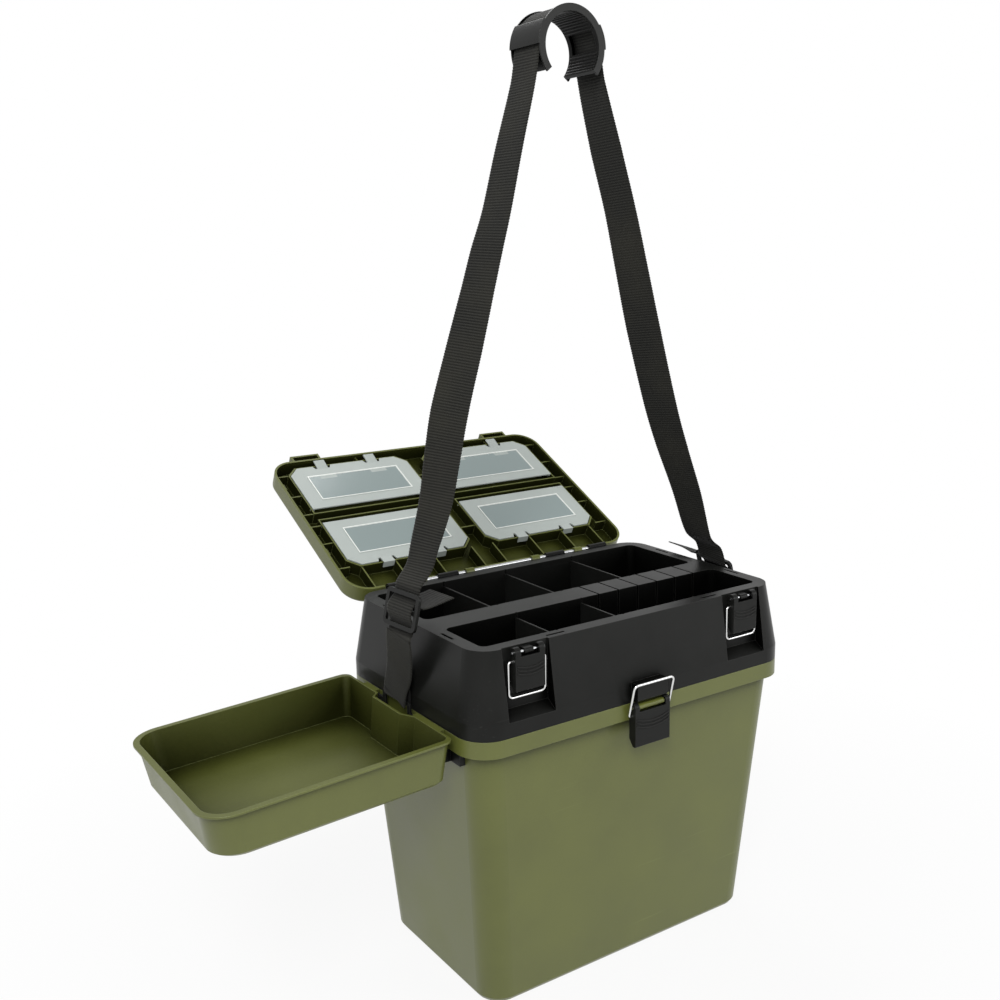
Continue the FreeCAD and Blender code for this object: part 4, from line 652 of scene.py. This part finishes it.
def make_grip_ribs():
    """Half-round ribs along the grip's inner wall."""
    inner = GRIP_RADIUS - GRIP_WALL
    verts, faces = [], []
    turns = [math.radians(first + GRIP_RIB_PITCH * step) for first, last in RIBBED
             for step in range(1 + (last - first) // GRIP_RIB_PITCH)]
    for angle in turns:
        out = Vector((math.cos(angle), 0, math.sin(angle)))
        side = Vector((-math.sin(angle), 0, math.cos(angle)))
        start, across = len(verts), len(verts) + RIB_POINTS
        for y in (-RIB_HALF_LONG, RIB_HALF_LONG):
            for k in range(RIB_POINTS):
                swing = math.pi * k / (RIB_POINTS - 1)
                reach = inner + RIB_SUNK - GRIP_RIB_HIGH * math.sin(swing)
                verts.append(GRIP_CENTRE + out * reach
                             + side * (RIB_HALF_WIDE * math.cos(swing)) + Vector((0, y, 0)))
        for k in range(RIB_POINTS - 1):
            faces.append((start + k, start + k + 1, across + k + 1, across + k))
        faces.append((across - 1, start, across, across + RIB_POINTS - 1))
        faces.append((start, *range(across - 1, start, -1)))
        faces.append(tuple(range(across, across + RIB_POINTS)))
    new_piece("grip_ribs", verts, faces, "black_plastic", "box", smooth=False)


# The camera and the studio

CAMERA_SPOT = Vector((-679.13, -897.77, 687.67)) * MM
CAMERA_BACK = Vector((-0.54324, -0.81304, 0.20943))
CAMERA_ROLL, CAMERA_LENS = math.radians(-1.08), 41.79
SKY_LEVEL = 0.42
FLOOR_SIZE, FLOOR_CELLS, FLOOR_DROP, FLOOR_GREY = 14, 8, 0.4 * MM, 0.78
FLOOR_REACH, FLOOR_WHITE = (0.3, 0.8), (0.9, 1.0)      # the shadow fades between these distances
LAMP_AIM = Vector((0, 0, 0.35))
# name, place, width and watts
LAMPS = (("key", (-1.3, -1.6, 2.0), 1.0, 42), ("fill", (1.6, -1.9, 1.1), 1.4, 14),
         ("rim", (0.5, 1.6, 2.4), 1.2, 16))


def make_camera():
    level = Vector((-CAMERA_BACK.y, CAMERA_BACK.x, 0)).normalized()
    rise = CAMERA_BACK.cross(level)
    right = math.cos(CAMERA_ROLL) * level + math.sin(CAMERA_ROLL) * rise
    up = math.cos(CAMERA_ROLL) * rise - math.sin(CAMERA_ROLL) * level
    data = bpy.data.cameras.new("camera")
    data.lens = CAMERA_LENS
    camera = new_object("camera", data)
    turn = Matrix((right, up, CAMERA_BACK.normalized())).transposed()
    camera.matrix_world = Matrix.Translation(CAMERA_SPOT) @ turn.to_4x4()
    bpy.context.scene.camera = camera


def seen_directly(tree):
    """1 for what the camera sees, itself or in a reflection or through a clear piece."""
    path = add(tree, "LightPath").outputs
    first = calc(tree, "MAXIMUM", path["Is Camera Ray"], path["Is Glossy Ray"])
    return calc(tree, "MAXIMUM", first, path["Is Transmission Ray"])


def make_world():
    world = bpy.data.worlds.new("studio")
    tree = cleared(world)
    level = spread(tree, seen_directly(tree), 0, 1, SKY_LEVEL, 1.0)
    sky = add(tree, "Background", {"Color": (1, 1, 1, 1), "Strength": level})
    tree.links.new(sky.outputs[0], add(tree, "OutputWorld").inputs[0])
    bpy.context.scene.world = world


def make_floor():
    """A white floor that keeps a faint shadow."""
    bpy.ops.mesh.primitive_grid_add(x_subdivisions=FLOOR_CELLS, y_subdivisions=FLOOR_CELLS,
                                    size=FLOOR_SIZE)
    floor = bpy.context.object
    floor.name = "floor"
    floor.location.z = -FLOOR_DROP
    made = bpy.data.materials.new("floor_white")
    tree = cleared(made)
    matt = add(tree, "BsdfDiffuse", {"Color": rgba([FLOOR_GREY] * 3)})
    white = add(tree, "Emission", {"Color": (1, 1, 1, 1), "Strength": 1.0})
    away = add(tree, "VectorMath", {0: object_place(tree)}, operation="LENGTH").outputs["Value"]
    share = calc(tree, "MULTIPLY", seen_directly(tree),
                 spread(tree, away, *FLOOR_REACH, *FLOOR_WHITE))
    both = add(tree, "MixShader", {0: share, 1: matt.outputs[0], 2: white.outputs[0]})
    tree.links.new(both.outputs[0], add(tree, "OutputMaterial").inputs[0])
    floor.data.materials.append(made)


def make_lights():
    for name, place, width, watts in LAMPS:
        data = bpy.data.lights.new(name, "AREA")
        data.shape = "DISK"
        data.size = width
        data.energy = watts
        made = new_object(name, data)
        made.location = place
        made.rotation_mode = "QUATERNION"
        made.rotation_quaternion = (LAMP_AIM - Vector(place)).to_track_quat("-Z", "Y")


finish_solids()
make_webbing()
make_cushion()
make_grip_ribs()
make_camera()
make_world()
make_floor()
make_lights()
bpy.context.scene.view_settings.view_transform = "Standard"
